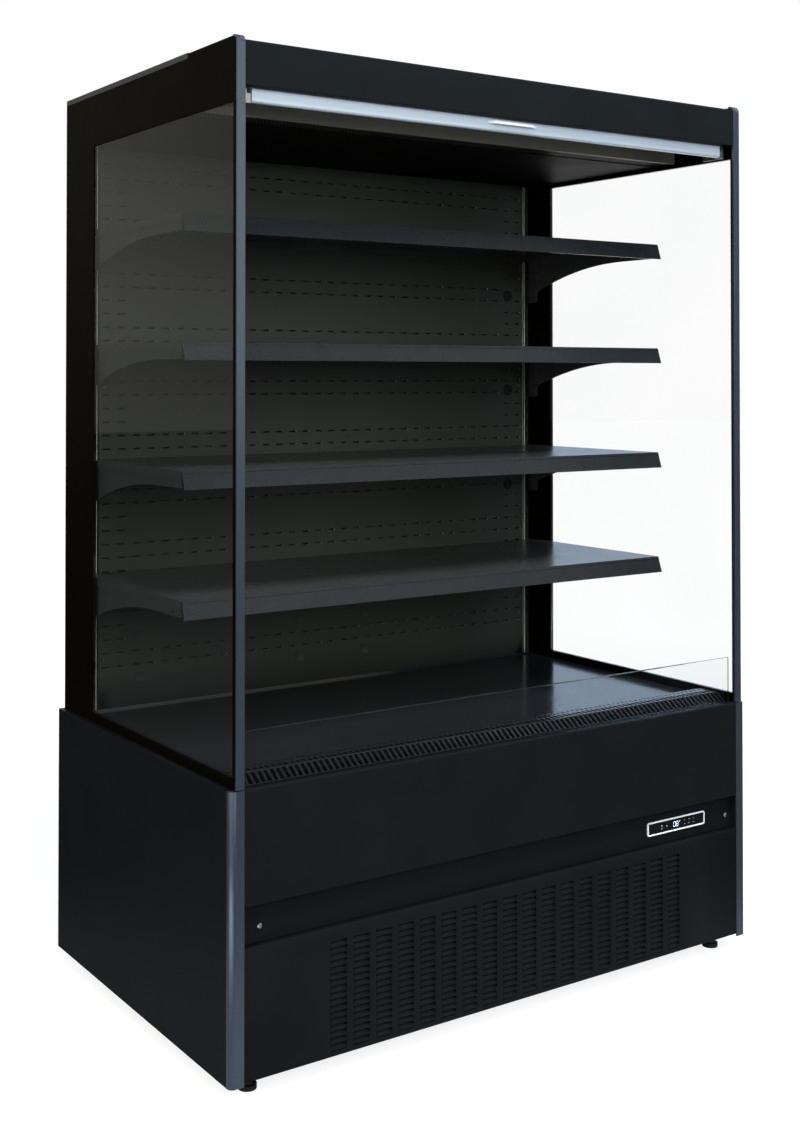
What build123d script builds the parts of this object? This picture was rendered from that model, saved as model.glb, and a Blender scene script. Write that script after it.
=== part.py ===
from build123d import *
import os
from math import sqrt

# Open multideck display fridge: a glazed, open-fronted cabinet on a machine base.
# Millimetres, +Z up. Origin on the floor under the middle of the base, front towards -Y.

# ---------------------------------------------------------------- driving sizes
overall_height = 1985.0
base_width = 1370.0
base_depth = 840.0
foot_height = 30.0  # floor to the underside of the base
base_height = 546.0
body_inset = 12.0  # each side of the upper body stands in from the base
rear_inset = 6.0
side_thickness = 14.0
back_thickness = 38.0
roof_cover = 12.0
roof_slab = 28.0
roof_setback = 207.0  # front of the roof cover behind the front of the base

sheet = 1.5
thin_sheet = 1.2
plate = 2.0
bend = 2.0  # outer radius of a sheet bend
fit_gap = 0.3  # between pieces that seat beside each other
running_gap = 0.05  # radial clearance of a turning shaft
skin_gap = 0.5

# front of the base
post_width = 30.0
post_depth = 15.0
post_wall = 2.5
post_radius = 12.0
post_cap = 4.0
panel_end_gap = 0.5
plinth_gap = 6.0
ledge_rise = 1.0
upper_panel_height = 217.0
upper_panel_bend = 4.0
recess_height = 77.0
recess_depth = 20.0
strip_lap = 25.0  # how far the recessed strip runs up behind the upper panel
strip_tuck = 10.0  # and down behind the louvre panel
pan_upstand = 40.0

louvre_length = 38.0
louvre_height = 8.0
louvre_pitch_x = 52.8
louvre_pitch_z = 12.3
louvre_reach = 6.5  # how far the blade's lower edge lies behind the sheet
louvre_wall = 1.0
louvre_seam = 6.0  # blades run on past the outermost openings
louvre_side_margin = 185.0
louvre_top_margin = 27.0
louvre_bottom_margin = 14.0
louvre_drop = 6.5  # field's middle below the panel's middle

bezel_width = 182.0
bezel_height = 31.0
bezel_wall = 3.5
bezel_proud = 3.0
bezel_radius = 6.0
controller_from_end = 208.0  # controller's middle from the end of the base
controller_depth = 30.0
controller_lip = 0.8
controller_window_gap = 1.0
screw_from_end = 64.4
screw_head = 5.0
screw_dome = 2.5
recess_screw_rise = 36.0  # recess centre line above the louvre panel

# feet
foot_side_inset = 65.0
foot_end_inset = 52.0
foot_pad_radius = 18.0
foot_pad_height = 9.0
foot_nut_radius = 11.0
foot_nut_height = 7.0
foot_stem_radius = 6.0
foot_stem_rise = 42.0  # stem above the underside of the base
boss_radius = 12.0
boss_height = 15.0

# machine compartment
vent_width = 60.0
vent_height = 8.0
vent_pitch_x = 75.0
vent_pitch_z = 20.0
vent_columns = 5
vent_rows = 2
vent_centre_z = 200.0
inlet_width = 32.0
inlet_height = 24.0
inlet_depth = 22.0
inlet_wall = 3.0
inlet_from_end = 125.0
inlet_z = 120.0
condenser_width = 600.0
condenser_headroom = 41.7  # under the tub, for the pipe's bend
condenser_depth = 50.0
condenser_setback = 40.0
condenser_fins = 12
fin_gap_depth = 12.0
end_plate = 3.0
shroud_depth = 18.0
shroud_wall = 1.5
fan_margin = 17.0  # shroud left above and below the fan's opening
fan_hole_gap = 5.0
fan_hub_radius = 32.0
fan_hub_depth = 26.0
fan_blades = 5
fan_blade_thickness = 2.5
fan_blade_tilt = 22.0
fan_blade_chord = 56.0
motor_radius = 36.0
motor_length = 60.0
arm_width = 10.0
arm_thickness = 4.0
arm_overlap = 6.0
compressor_radius = 80.0
compressor_height = 163.0
compressor_crown = 24.0
compressor_crown_inset = 13.0
compressor_x = -250.0
compressor_y = 150.0
compressor_foot_width = 190.0
compressor_foot_depth = 130.0
compressor_foot = 4.0
water_tray_width = 300.0
water_tray_depth = 220.0
water_tray_height = 40.0
water_tray_x = 250.0
water_tray_y = 130.0
control_box_width = 150.0
control_box_height = 64.0
control_box_depth = 45.0
pipe_radius = 4.0
suction_radius = 6.0
pipe_drop = 60.0
suction_offset = 35.0

# insulated tub under the deck
tub_recess = 14.0  # tub's rim below the top of the base
tub_depth = 187.0
tub_floor = 35.0
tub_side = 56.2
tub_front_wall = 30.2
tub_setback = 21.8

# side panels and the glazing in them
window_front = 11.0
window_rear = 160.0
window_bottom = 20.0
window_top = 113.0
side_setback = 4.0  # side panel behind the front profile
side_corner = 11.0
pane_thickness = 10.0
profile_width = 18.0
profile_thickness = 4.0
profile_corner = 15.0
profile_return = 18.0
profile_fin = 3.0
profile_fin_thickness = 2.0
profile_fin_drop = 22.0
profile_foot_gap = 2.0
side_top_drop = 2.0

# canopy
fascia_setback = 2.0
fascia_end_gap = 2.0
fascia_drop = 8.6
fascia_height = 86.4
fascia_bend = 5.0
fascia_lip = 14.0
duct_height = 75.0  # roof slab down to the outlet
outlet_setback = 198.0  # duct wall behind the front
outlet_width = 76.0
outlet_lip = 10.0
duct_flange = 17.0
honeycomb_height = 15.0
honeycomb_wall = 3.0
honeycomb_cells = 18
honeycomb_rib = 1.5
ceiling_lip = 8.0

# display space
rear_duct = 48.5
back_panel_from_upright = 4.5
upright_gap = 2.0
upright_width = 30.0
upright_lip = 20.0
upright_setback = 17.5
slot_width = 5.0
slot_height = 18.0
slot_pitch = 32.5
slot_margin = 110.0
deck_rise = 2.0
deck_gap = 4.0
deck_upstand = 4.5
grille_foot = 36.0  # grille's front foot behind the front
grille_rise_start = 11.5
grille_slope_depth = 27.0
grille_slope_rise = 18.5
grille_flat = 49.0
grille_slot_length = 28.0
grille_slot_width = 8.5
grille_pitch = 13.75
grille_end_margin = 4.0
grille_lap = 12.0  # grille's rear leg down the front of the deck
riser_setback = 18.0
riser_thickness = 5.0
riser_rise = 105.0  # glass above the top of the base
riser_end_gap = 9.0
channel_height = 14.0

first_shelf = 316.5  # first shelf above the deck
top_shelf_room = 190.0  # least height above the top shelf
shelf_count = 4
shelf_gap = 4.0
shelf_setback = 257.0
shelf_rear_gap = 7.5
shelf_front_flange = 25.0
shelf_rear_flange = 15.0
shelf_side_flange = 17.0
bracket_thickness = 3.0
bracket_gap = 1.8
bracket_arm = 34.0
bracket_tab_width = 47.7
bracket_tab_height = 126.0
bracket_haunch = 98.0
bracket_arc_length = 337.0
bracket_corner = 8.0
bracket_front_inset = 13.0
hook_drop = 35.0
hook_slots_apart = 2
hook_height = 8.0
hook_tip = 8.0
hook_tip_thickness = 3.5
hook_play = 0.3
ticket_height = 37.5
ticket_slope = 12.5  # how far the lower edge stands out beyond the upper
ticket_wall = 1.5
ticket_top = 2.2
ticket_leg = 24.0
ticket_lip = 7.0

# air fans and evaporator under the deck
fan_plate_y = -60.0
evap_fan_radius = 58.0
evap_fan_x = 300.0
evap_fan_hub_radius = 20.0
evap_fan_hub_depth = 18.0
evap_fan_chord = 34.0
evap_fan_hole_gap = 4.0
evap_motor_radius = 26.0
evap_motor_length = 40.0
evaporator_half_width = 560.0
evaporator_y = 150.0
evaporator_depth = 180.0
evaporator_height = 135.0
evaporator_fins = 12

# night blind
blind_setback = 28.0  # cloth behind the front of the base
blind_axis_rise = 35.0  # roller's axis above the fascia's lower edge
roll_radius = 26.0
tube_radius = 19.0
tube_pin_radius = 4.0
tube_pin_length = 9.0
blind_end_gap = 16.0
cloth_thickness = 0.5
bar_depth = 12.0
bar_height = 27.5
bar_cloth_inset = 6.6
bar_corner = 5.0
bar_edge = 1.0
bar_end_gap = 29.0
tube_end_gap = 5.0
bracket_rise = 35.0
bracket_drop = 64.0
bracket_half_depth = 32.0
bracket_side_leg = 40.0
tab_length = 10.5
tab_height = 18.0
handle_half = 50.0
handle_slant = 8.0
handle_foot = 8.0
handle_reach = 11.1
handle_strap = 2.0
handle_width = 6.0
handle_rise = 15.0  # above the bar's lower edge

# ---------------------------------------------------------------- derived places
base_x = base_width / 2
front_y = -base_depth / 2
rear_y = base_depth / 2
skin_x = base_x - sheet
body_x = base_x - body_inset
inner_x = body_x - side_thickness
liner_x = inner_x - fit_gap
post_x = base_x - post_width
panel_x = post_x - panel_end_gap
body_rear_y = rear_y - rear_inset
back_inner_y = body_rear_y - back_thickness
roof_front_y = front_y + roof_setback

base_bottom = foot_height
base_top = base_bottom + base_height
pan_floor = base_bottom + 2 * sheet + fit_gap
pan_x = skin_x - fit_gap
upper_panel_top = base_top + ledge_rise
upper_panel_bottom = upper_panel_top - upper_panel_height
louvre_panel_top = upper_panel_bottom - recess_height
louvre_panel_bottom = base_bottom + plinth_gap
strip_y = front_y + recess_depth
post_rear_y = front_y + post_depth
recess_z = louvre_panel_top + recess_screw_rise

tub_top = base_top - tub_recess
tub_bottom = tub_top - tub_depth
tub_floor_z = tub_bottom + tub_floor
tub_x = skin_x - fit_gap
tub_inner_x = tub_x - tub_side
tub_front_y = front_y + tub_setback
tub_inner_front_y = tub_front_y + tub_front_wall

slab_top = overall_height - roof_cover
slab_bottom = slab_top - roof_slab
ceiling_z = slab_bottom - duct_height
side_front_y = front_y + side_setback
side_top = overall_height - side_top_drop
side_nose_top = overall_height - profile_thickness
profile_x = body_x - profile_width
profile_end_y = front_y + profile_return
window_front_y = side_front_y + window_front
window_rear_y = body_rear_y - window_rear
window_bottom_z = base_top + window_bottom
window_top_z = slab_top - window_top

fascia_y = front_y + fascia_setback
fascia_x = profile_x - fascia_end_gap
fascia_top = overall_height - fascia_drop
fascia_bottom = fascia_top - fascia_height
duct_y = front_y + outlet_setback
outlet_rear_y = duct_y + outlet_width

back_panel_y = back_inner_y - rear_duct
upright_face_y = back_panel_y + upright_setback
upright_x = inner_x - upright_gap
upright_inner_x = upright_x - upright_width
back_panel_x = upright_inner_x - back_panel_from_upright
deck_top = base_top + deck_rise
deck_x = inner_x - deck_gap
deck_rear_y = back_panel_y - 2 * skin_gap
grille_y = front_y + grille_foot
grille_slope_z = tub_top + grille_rise_start
grille_top_z = grille_slope_z + grille_slope_rise
grille_crest_y = grille_y + grille_slope_depth
grille_rear_y = grille_crest_y + grille_flat
deck_front_y = grille_rear_y + fit_gap
riser_y = front_y + riser_setback
riser_x = inner_x - riser_end_gap
riser_top = base_top + riser_rise
channel_front_y = riser_y - fit_gap - sheet
channel_rear_y = riser_y + riser_thickness + fit_gap + sheet
channel_top = tub_top + channel_height

shelf_x = inner_x - shelf_gap
shelf_front_y = front_y + shelf_setback
shelf_rear_y = back_panel_y - shelf_rear_gap
first_shelf_z = deck_top + first_shelf
shelf_span = ceiling_z - top_shelf_room - first_shelf_z
slots_per_shelf = int(shelf_span / (slot_pitch * (shelf_count - 1)))
shelf_pitch = slot_pitch * slots_per_shelf
shelf_tops = [first_shelf_z + shelf_pitch * i for i in range(shelf_count)]
bracket_x = shelf_x - thin_sheet - bracket_gap - bracket_thickness / 2
slot_x = bracket_x
hook_levels = [hook_drop, hook_drop + hook_slots_apart * slot_pitch]

cloth_y = front_y + blind_setback
axis_y = cloth_y + roll_radius
axis_z = fascia_bottom + blind_axis_rise
bar_x = inner_x - bar_end_gap
bar_top = fascia_bottom - skin_gap
bar_bottom = bar_top - bar_height
bar_front_y = cloth_y - bar_cloth_inset
blind_bracket_x = inner_x - blind_end_gap

os.makedirs("parts", exist_ok=True)

# ---------------------------------------------------------------- base
# Floor tray of the machine compartment with a threaded boss over each foot.
foot_x = base_x - foot_side_inset
foot_y = rear_y - foot_end_inset
pan_front_y = post_rear_y
pan_rear_y = rear_y - sheet
pan_length = pan_rear_y - pan_front_y
pan_middle_y = (pan_front_y + pan_rear_y) / 2
boss_bore = foot_stem_radius + running_gap

with BuildPart() as base_pan:
    with BuildSketch(Plane.XY.offset(pan_floor - sheet)):
        with Locations((0, pan_middle_y)):
            Rectangle(2 * pan_x, pan_length)
    extrude(amount=pan_upstand)
    with BuildSketch(Plane.XY.offset(pan_floor)):
        with Locations((0, pan_middle_y)):
            Rectangle(2 * (pan_x - sheet), pan_length - 2 * sheet)
    extrude(amount=pan_upstand, mode=Mode.SUBTRACT)
    with BuildSketch(Plane.XY.offset(pan_floor)):
        with GridLocations(2 * foot_x, 2 * foot_y, 2, 2):
            RegularPolygon(boss_radius, 6)
    extrude(amount=boss_height)
    with BuildSketch(Plane.XY.offset(pan_floor - sheet)):
        with GridLocations(2 * foot_x, 2 * foot_y, 2, 2):
            RegularPolygon(boss_bore, 12, major_radius=False)
    extrude(amount=sheet + boss_height, mode=Mode.SUBTRACT)

# Side skin of the base, folded in at the top as the ledge and at the bottom under the tray.
with BuildPart() as base_side_right:
    with BuildSketch(Plane.XZ.offset(-pan_rear_y)):
        with BuildLine():
            Polyline(
                (post_x + sheet, base_bottom),
                (base_x, base_bottom),
                (base_x, base_top),
                (inner_x, base_top),
            )
            offset(amount=sheet, side=Side.LEFT)
        make_face()
    extrude(amount=pan_length)

with BuildPart() as base_side_left:
    add(mirror(base_side_right.part, about=Plane.YZ, mode=Mode.PRIVATE))

# Rounded corner extrusions with their end caps.
with BuildPart() as corner_posts:
    with BuildSketch(Plane.XY.offset(base_bottom)):
        with BuildLine():
            FilletPolyline(
                (base_x, post_rear_y), (base_x, front_y), (post_x, front_y), radius=post_radius
            )
            offset(amount=post_wall, side=Side.RIGHT)
        make_face()
    extrude(amount=base_height - post_cap)
    with BuildSketch(Plane.XY.offset(base_top - post_cap)):
        with BuildLine():
            FilletPolyline(
                (base_x, post_rear_y), (base_x, front_y), (post_x, front_y), radius=post_radius
            )
            Polyline((post_x, front_y), (post_x, post_rear_y), (base_x, post_rear_y))
        make_face()
    extrude(amount=post_cap)
    mirror(about=Plane.YZ)

# Upper front panel: a shallow tray folded back at the top and the bottom.
with BuildPart() as front_upper_panel:
    with BuildSketch(Plane.YZ) as section:
        with BuildLine():
            Polyline(
                (strip_y - fit_gap, upper_panel_bottom),
                (front_y, upper_panel_bottom),
                (front_y, upper_panel_top),
                (channel_front_y - fit_gap, upper_panel_top),
            )
            offset(amount=sheet, side=Side.RIGHT)
        make_face()
        fillet(
            section.vertices().sort_by_distance((front_y, upper_panel_top, 0))[0],
            upper_panel_bend,
        )
    extrude(amount=panel_x, both=True)

# Recessed strip between the two front panels, carrying the controller.
strip_top = upper_panel_bottom + strip_lap
strip_bottom = louvre_panel_top - strip_tuck
strip_x = post_x + sheet + fit_gap
strip_end_y = front_y + post_wall + fit_gap
controller_x = base_x - controller_from_end
screw_x = base_x - screw_from_end
window_width = bezel_width - 2 * bezel_wall + controller_window_gap
window_height = bezel_height - 2 * bezel_wall + controller_window_gap

with BuildPart() as controller_strip:
    with BuildSketch(Plane.XY.offset(strip_bottom)):
        with BuildLine():
            Polyline(
                (strip_x, strip_end_y),
                (strip_x, strip_y + sheet),
                (-strip_x, strip_y + sheet),
                (-strip_x, strip_end_y),
            )
            offset(amount=sheet, side=Side.LEFT)
        make_face()
    extrude(amount=strip_top - strip_bottom)
    with BuildSketch(Plane.XZ.offset(-strip_y)):
        with Locations((controller_x, recess_z)):
            Rectangle(window_width, window_height)
    extrude(amount=-2 * sheet, mode=Mode.SUBTRACT)

with BuildPart() as controller_bezel:
    with BuildSketch(Plane.XZ.offset(-strip_y)):
        with Locations((controller_x, recess_z)):
            RectangleRounded(bezel_width, bezel_height, bezel_radius)
            Rectangle(
                bezel_width - 2 * bezel_wall, bezel_height - 2 * bezel_wall, mode=Mode.SUBTRACT
            )
    extrude(amount=bezel_proud)

with BuildPart() as controller_display:
    with BuildSketch(Plane.XZ.offset(-strip_y - controller_depth)):
        with Locations((controller_x, recess_z)):
            Rectangle(
                bezel_width - 2 * bezel_wall - 2 * fit_gap,
                bezel_height - 2 * bezel_wall - 2 * fit_gap,
            )
    extrude(amount=controller_depth + bezel_proud - controller_lip)

with BuildPart() as panel_screws:
    with BuildSketch(Plane.XZ.offset(-strip_y)):
        with Locations((screw_x, recess_z), (-screw_x, recess_z)):
            Circle(screw_head)
    extrude(amount=screw_dome)

# Louvre panel: openings in columns, and behind them one folded blade for each row. A blade
# has a flat ridge against the sheet and then slopes inwards and down to the next ridge.
louvre_panel_height = louvre_panel_top - louvre_panel_bottom
louvre_span_x = 2 * (panel_x - louvre_side_margin) - louvre_length
louvre_span_z = louvre_panel_height - louvre_top_margin - louvre_bottom_margin - louvre_height
louvre_columns = int(louvre_span_x / louvre_pitch_x) + 1
louvre_rows = int(louvre_span_z / louvre_pitch_z) + 1
louvre_field_z = (louvre_panel_top + louvre_panel_bottom) / 2 - louvre_drop
louvre_field_height = louvre_pitch_z * (louvre_rows - 1) + louvre_height
louvre_field_width = louvre_pitch_x * (louvre_columns - 1) + louvre_length
louvre_ridge = louvre_pitch_z - louvre_height
louvre_back_y = front_y + sheet + fit_gap

with BuildPart() as louvre_panel:
    with BuildSketch(Plane.YZ):
        with BuildLine():
            Polyline(
                (pan_front_y - fit_gap, louvre_panel_bottom),
                (front_y, louvre_panel_bottom),
                (front_y, louvre_panel_top),
                (strip_y - fit_gap, louvre_panel_top),
            )
            offset(amount=sheet, side=Side.RIGHT)
        make_face()
    extrude(amount=panel_x, both=True)
    with BuildSketch(Plane.XZ.offset(-front_y)):
        with Locations((0, louvre_field_z)):
            with GridLocations(louvre_pitch_x, 1, louvre_columns, 1):
                Rectangle(louvre_length, louvre_field_height)
    extrude(amount=-sheet, mode=Mode.SUBTRACT)
    with BuildSketch(Plane.YZ):
        for row in range(louvre_rows):
            blade_z = louvre_field_z + louvre_pitch_z * (row - (louvre_rows - 1) / 2)
            root_z = blade_z + louvre_height / 2
            with BuildLine():
                Polyline(
                    (louvre_back_y, root_z + louvre_ridge),
                    (louvre_back_y, root_z),
                    (louvre_back_y + louvre_reach, root_z - louvre_height),
                    (louvre_back_y + louvre_reach, root_z - louvre_height + 2 * louvre_wall),
                    (louvre_back_y + louvre_wall, root_z + louvre_wall),
                    (louvre_back_y + louvre_wall, root_z + louvre_ridge),
                    close=True,
                )
            make_face()
    extrude(amount=louvre_field_width / 2 + louvre_seam, both=True)

# Rear panel of the base: full width, folded in over the tub, with vents and the inlet hole.
inlet_x = base_x - inlet_from_end

with BuildPart() as base_back_panel:
    with BuildSketch(Plane.XZ.offset(-rear_y)):
        with Locations((0, base_bottom + base_height / 2)):
            Rectangle(base_width, base_height)
        with Locations((0, vent_centre_z)):
            with GridLocations(vent_pitch_x, vent_pitch_z, vent_columns, vent_rows):
                Rectangle(vent_width, vent_height, mode=Mode.SUBTRACT)
        with Locations((inlet_x, inlet_z)):
            Rectangle(inlet_width + 2 * fit_gap, inlet_height + 2 * fit_gap, mode=Mode.SUBTRACT)
    extrude(amount=sheet)
    with BuildSketch(Plane.YZ):
        with Locations((body_rear_y + fit_gap, base_top)):
            Rectangle(rear_inset - fit_gap, sheet, align=(Align.MIN, Align.MAX))
    extrude(amount=liner_x, both=True)

# Mains inlet: a flush socket housing, open towards the back.
with BuildPart() as power_inlet:
    with BuildSketch(Plane.XZ.offset(-rear_y)):
        with Locations((inlet_x, inlet_z)):
            Rectangle(inlet_width, inlet_height)
    extrude(amount=inlet_depth)
    with BuildSketch(Plane.XZ.offset(-rear_y)):
        with Locations((inlet_x, inlet_z)):
            Rectangle(inlet_width - 2 * inlet_wall, inlet_height - 2 * inlet_wall)
    extrude(amount=inlet_depth - inlet_wall, mode=Mode.SUBTRACT)


# Levelling foot: a round pad under a hexagon nut, and the threaded stem.
foot_nut_top = foot_pad_height + foot_nut_height


def levelling_foot(x, y):
    with BuildPart() as foot:
        with BuildSketch(Plane.XY):
            with Locations((x, y)):
                Circle(foot_pad_radius)
        extrude(amount=foot_pad_height)
        with BuildSketch(Plane.XY.offset(foot_pad_height)):
            with Locations((x, y)):
                RegularPolygon(foot_nut_radius, 6)
        extrude(amount=foot_nut_height)
        with BuildSketch(Plane.XY.offset(foot_nut_top)):
            with Locations((x, y)):
                Circle(foot_stem_radius)
        extrude(amount=base_bottom + foot_stem_rise - foot_nut_top)
    return foot


foot_front_left = levelling_foot(-foot_x, -foot_y)
foot_front_right = levelling_foot(foot_x, -foot_y)
foot_rear_left = levelling_foot(-foot_x, foot_y)
foot_rear_right = levelling_foot(foot_x, foot_y)

# ---------------------------------------------------------------- machine compartment
condenser_front_y = front_y + condenser_setback
condenser_rear_y = condenser_front_y + condenser_depth
condenser_pitch = condenser_width / (condenser_fins + 1)
condenser_height = tub_bottom - pan_floor - condenser_headroom
fan_z = pan_floor + condenser_height / 2
shroud_rear_y = condenser_rear_y + shroud_depth
fan_front_y = shroud_rear_y + fit_gap
motor_front_y = fan_front_y + fan_hub_depth + fit_gap
fan_hole = condenser_height / 2 - fan_margin
fan_radius = fan_hole - fan_hole_gap

# Finned condenser block between two end plates.
with BuildPart() as condenser:
    with BuildSketch(Plane.XY.offset(pan_floor)):
        with Locations((0, (condenser_front_y + condenser_rear_y) / 2)):
            Rectangle(condenser_width, condenser_depth)
    extrude(amount=condenser_height)
    with BuildSketch(Plane.XY.offset(pan_floor + end_plate)):
        with Locations((0, condenser_front_y)):
            with GridLocations(condenser_pitch, 1, condenser_fins, 1):
                Rectangle(condenser_pitch / 2, 2 * fin_gap_depth)
    extrude(amount=condenser_height - 2 * end_plate, mode=Mode.SUBTRACT)

# Shroud: a shallow hood behind the condenser with the fan's round opening.
with BuildPart() as condenser_shroud:
    with BuildSketch(Plane.XZ.offset(-shroud_rear_y)):
        with Locations((0, fan_z)):
            Rectangle(condenser_width, condenser_height)
    extrude(amount=shroud_depth)
    with BuildSketch(Plane.XZ.offset(-shroud_rear_y + shroud_wall)):
        with Locations((0, fan_z)):
            Rectangle(condenser_width - 2 * shroud_wall, condenser_height - 2 * shroud_wall)
    extrude(amount=shroud_depth, mode=Mode.SUBTRACT)
    with BuildSketch(Plane.XZ.offset(-shroud_rear_y)):
        with Locations((0, fan_z)):
            Circle(fan_hole)
    extrude(amount=shroud_wall, mode=Mode.SUBTRACT)



# Axial fan: a ten-sided hub with flat blades set at an angle. Its axis runs along Y.
def axial_fan(x, front, z, radius, hub_radius, hub_depth, chord):
    with BuildPart() as fan:
        with BuildSketch(Plane.XZ.offset(-front)):
            with Locations((x, z)):
                RegularPolygon(hub_radius, 2 * fan_blades)
        extrude(amount=-hub_depth)
        with Locations(Plane((x, front + hub_depth / 2, z), x_dir=(1, 0, 0), z_dir=(0, -1, 0))):
            with PolarLocations(0, fan_blades):
                Box(
                    radius,
                    chord,
                    fan_blade_thickness,
                    rotation=(fan_blade_tilt, 0, 0),
                    align=(Align.MIN, Align.CENTER, Align.CENTER),
                )
    return fan


# Fan motors: each a laminated block on a bar, with feet that reach back to the wall.
def fan_motors(places, wall, front, z, half_width, length, reach):
    with BuildPart() as motors:
        with BuildSketch(Plane.XZ.offset(-front)):
            for x in places:
                with Locations((x, z)):
                    Rectangle(2 * half_width, 2 * half_width)
        extrude(amount=-length)
        with BuildSketch(Plane.XZ.offset(-front)):
            for x in places:
                with Locations((x, z)):
                    Rectangle(2 * reach, arm_width)
        extrude(amount=-arm_thickness)
        with BuildSketch(Plane.XZ.offset(-wall)):
            for x in places:
                with Locations((x - reach, z)):
                    Rectangle(arm_overlap, arm_width, align=(Align.MIN, Align.CENTER))
                with Locations((x + reach, z)):
                    Rectangle(arm_overlap, arm_width, align=(Align.MAX, Align.CENTER))
        extrude(amount=-(front - wall))
    return motors


condenser_fan = axial_fan(
    0, fan_front_y, fan_z, fan_radius, fan_hub_radius, fan_hub_depth, fan_blade_chord
)
condenser_fan_motor = fan_motors(
    [0], shroud_rear_y, motor_front_y, fan_z, motor_radius, motor_length, fan_hole + arm_overlap
)

# Hermetic compressor: a pot with its drawn crown on a foot plate.
pot_bottom = pan_floor + compressor_foot
pot_top = pot_bottom + compressor_height - compressor_crown

with BuildPart() as compressor:
    with BuildSketch(Plane.XY.offset(pan_floor)):
        with Locations((compressor_x, compressor_y)):
            Rectangle(compressor_foot_width, compressor_foot_depth)
    extrude(amount=compressor_foot)
    with BuildSketch(Plane.XY.offset(pot_bottom)):
        with Locations((compressor_x, compressor_y)):
            Circle(compressor_radius)
    extrude(amount=pot_top - pot_bottom)
    with BuildSketch(Plane.XY.offset(pot_top)):
        with Locations((compressor_x, compressor_y)):
            Circle(compressor_radius - compressor_crown_inset)
    extrude(amount=compressor_crown)
compressor_top = pot_top + compressor_crown

with BuildPart() as control_box:
    with BuildSketch(Plane.XZ.offset(-strip_y - controller_depth - fit_gap)):
        with Locations((controller_x, recess_z)):
            Rectangle(control_box_width, control_box_height)
    extrude(amount=-control_box_depth)

# Open tray for melt water, standing on the floor of the compartment.
with BuildPart() as evaporation_tray:
    with BuildSketch(Plane.XY.offset(pan_floor)):
        with Locations((water_tray_x, water_tray_y)):
            Rectangle(water_tray_width, water_tray_depth)
    extrude(amount=water_tray_height)
    offset(amount=-sheet, openings=evaporation_tray.faces().sort_by(Axis.Z)[-1])

# Copper pipes: discharge to the condenser, liquid line and suction line up to the tub.
discharge_inner = suction_offset - pipe_radius  # pipe's side nearest the pot's middle
discharge_y = compressor_y - sqrt(compressor_radius**2 - discharge_inner**2) - fit_gap
liquid_x = compressor_x - suction_offset
liquid_y = (condenser_front_y + condenser_rear_y) / 2

with BuildPart() as refrigerant_pipes:
    with BuildSketch(Plane.XZ.offset(-discharge_y)):
        with Locations((compressor_x - suction_offset, compressor_top - pipe_drop)):
            Circle(pipe_radius)
    extrude(amount=discharge_y - shroud_rear_y - fit_gap)
    with BuildSketch(Plane.XY.offset(pan_floor + condenser_height + fit_gap)):
        with Locations((liquid_x, liquid_y)):
            Circle(pipe_radius)
    extrude(amount=tub_bottom - pan_floor - condenser_height - 2 * fit_gap)
    with BuildSketch(Plane.XY.offset(compressor_top + fit_gap)):
        with Locations((compressor_x + suction_offset, compressor_y)):
            Circle(suction_radius)
    extrude(amount=tub_bottom - compressor_top - 2 * fit_gap)

# ---------------------------------------------------------------- insulated shell
tub_length = body_rear_y - tub_front_y
tub_inner_length = back_inner_y - tub_inner_front_y

with BuildPart() as insulated_tub:
    with BuildSketch(Plane.XY.offset(tub_bottom)):
        with Locations((0, (body_rear_y + tub_front_y) / 2)):
            Rectangle(2 * tub_x, tub_length)
    extrude(amount=tub_depth)
    with BuildSketch(Plane.XY.offset(tub_floor_z)):
        with Locations((0, (back_inner_y + tub_inner_front_y) / 2)):
            Rectangle(2 * tub_inner_x, tub_inner_length)
    extrude(amount=tub_depth, mode=Mode.SUBTRACT)

with BuildPart() as insulated_back:
    with BuildSketch(Plane.XY.offset(tub_top)):
        with Locations((0, (body_rear_y + back_inner_y) / 2)):
            Rectangle(2 * liner_x, back_thickness)
    extrude(amount=slab_bottom - tub_top)

# Roof: insulated slab between the sides under a wider cover.
with BuildPart() as insulated_roof:
    with BuildSketch(Plane.XY.offset(slab_bottom)):
        with Locations((0, duct_y)):
            Rectangle(2 * liner_x, body_rear_y - duct_y, align=(Align.CENTER, Align.MIN))
    extrude(amount=roof_slab)
    with BuildSketch(Plane.XY.offset(slab_top)):
        with Locations((0, roof_front_y)):
            Rectangle(2 * body_x, body_rear_y - roof_front_y, align=(Align.CENTER, Align.MIN))
    extrude(amount=roof_cover)

# Side frame: the dark border round the pane, rounded under the front profile's corner.
with BuildPart() as side_frame_right:
    with BuildSketch(Plane.YZ.offset(inner_x)) as outline:
        with BuildLine():
            Polyline(
                (side_front_y, base_top),
                (side_front_y, side_nose_top),
                (profile_end_y + fit_gap, side_nose_top),
                (profile_end_y + fit_gap, side_top),
                (roof_front_y, side_top),
                (roof_front_y, slab_top),
                (body_rear_y, slab_top),
                (body_rear_y, base_top),
                close=True,
            )
        make_face()
        nose = outline.vertices().sort_by_distance((side_front_y, side_nose_top, 0))[0]
        fillet(nose, side_corner)
        with Locations(((window_front_y + window_rear_y) / 2, (window_bottom_z + window_top_z) / 2)):
            Rectangle(
                window_rear_y - window_front_y, window_top_z - window_bottom_z, mode=Mode.SUBTRACT
            )
    extrude(amount=side_thickness)

with BuildPart() as side_frame_left:
    add(mirror(side_frame_right.part, about=Plane.YZ, mode=Mode.PRIVATE))

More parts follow.
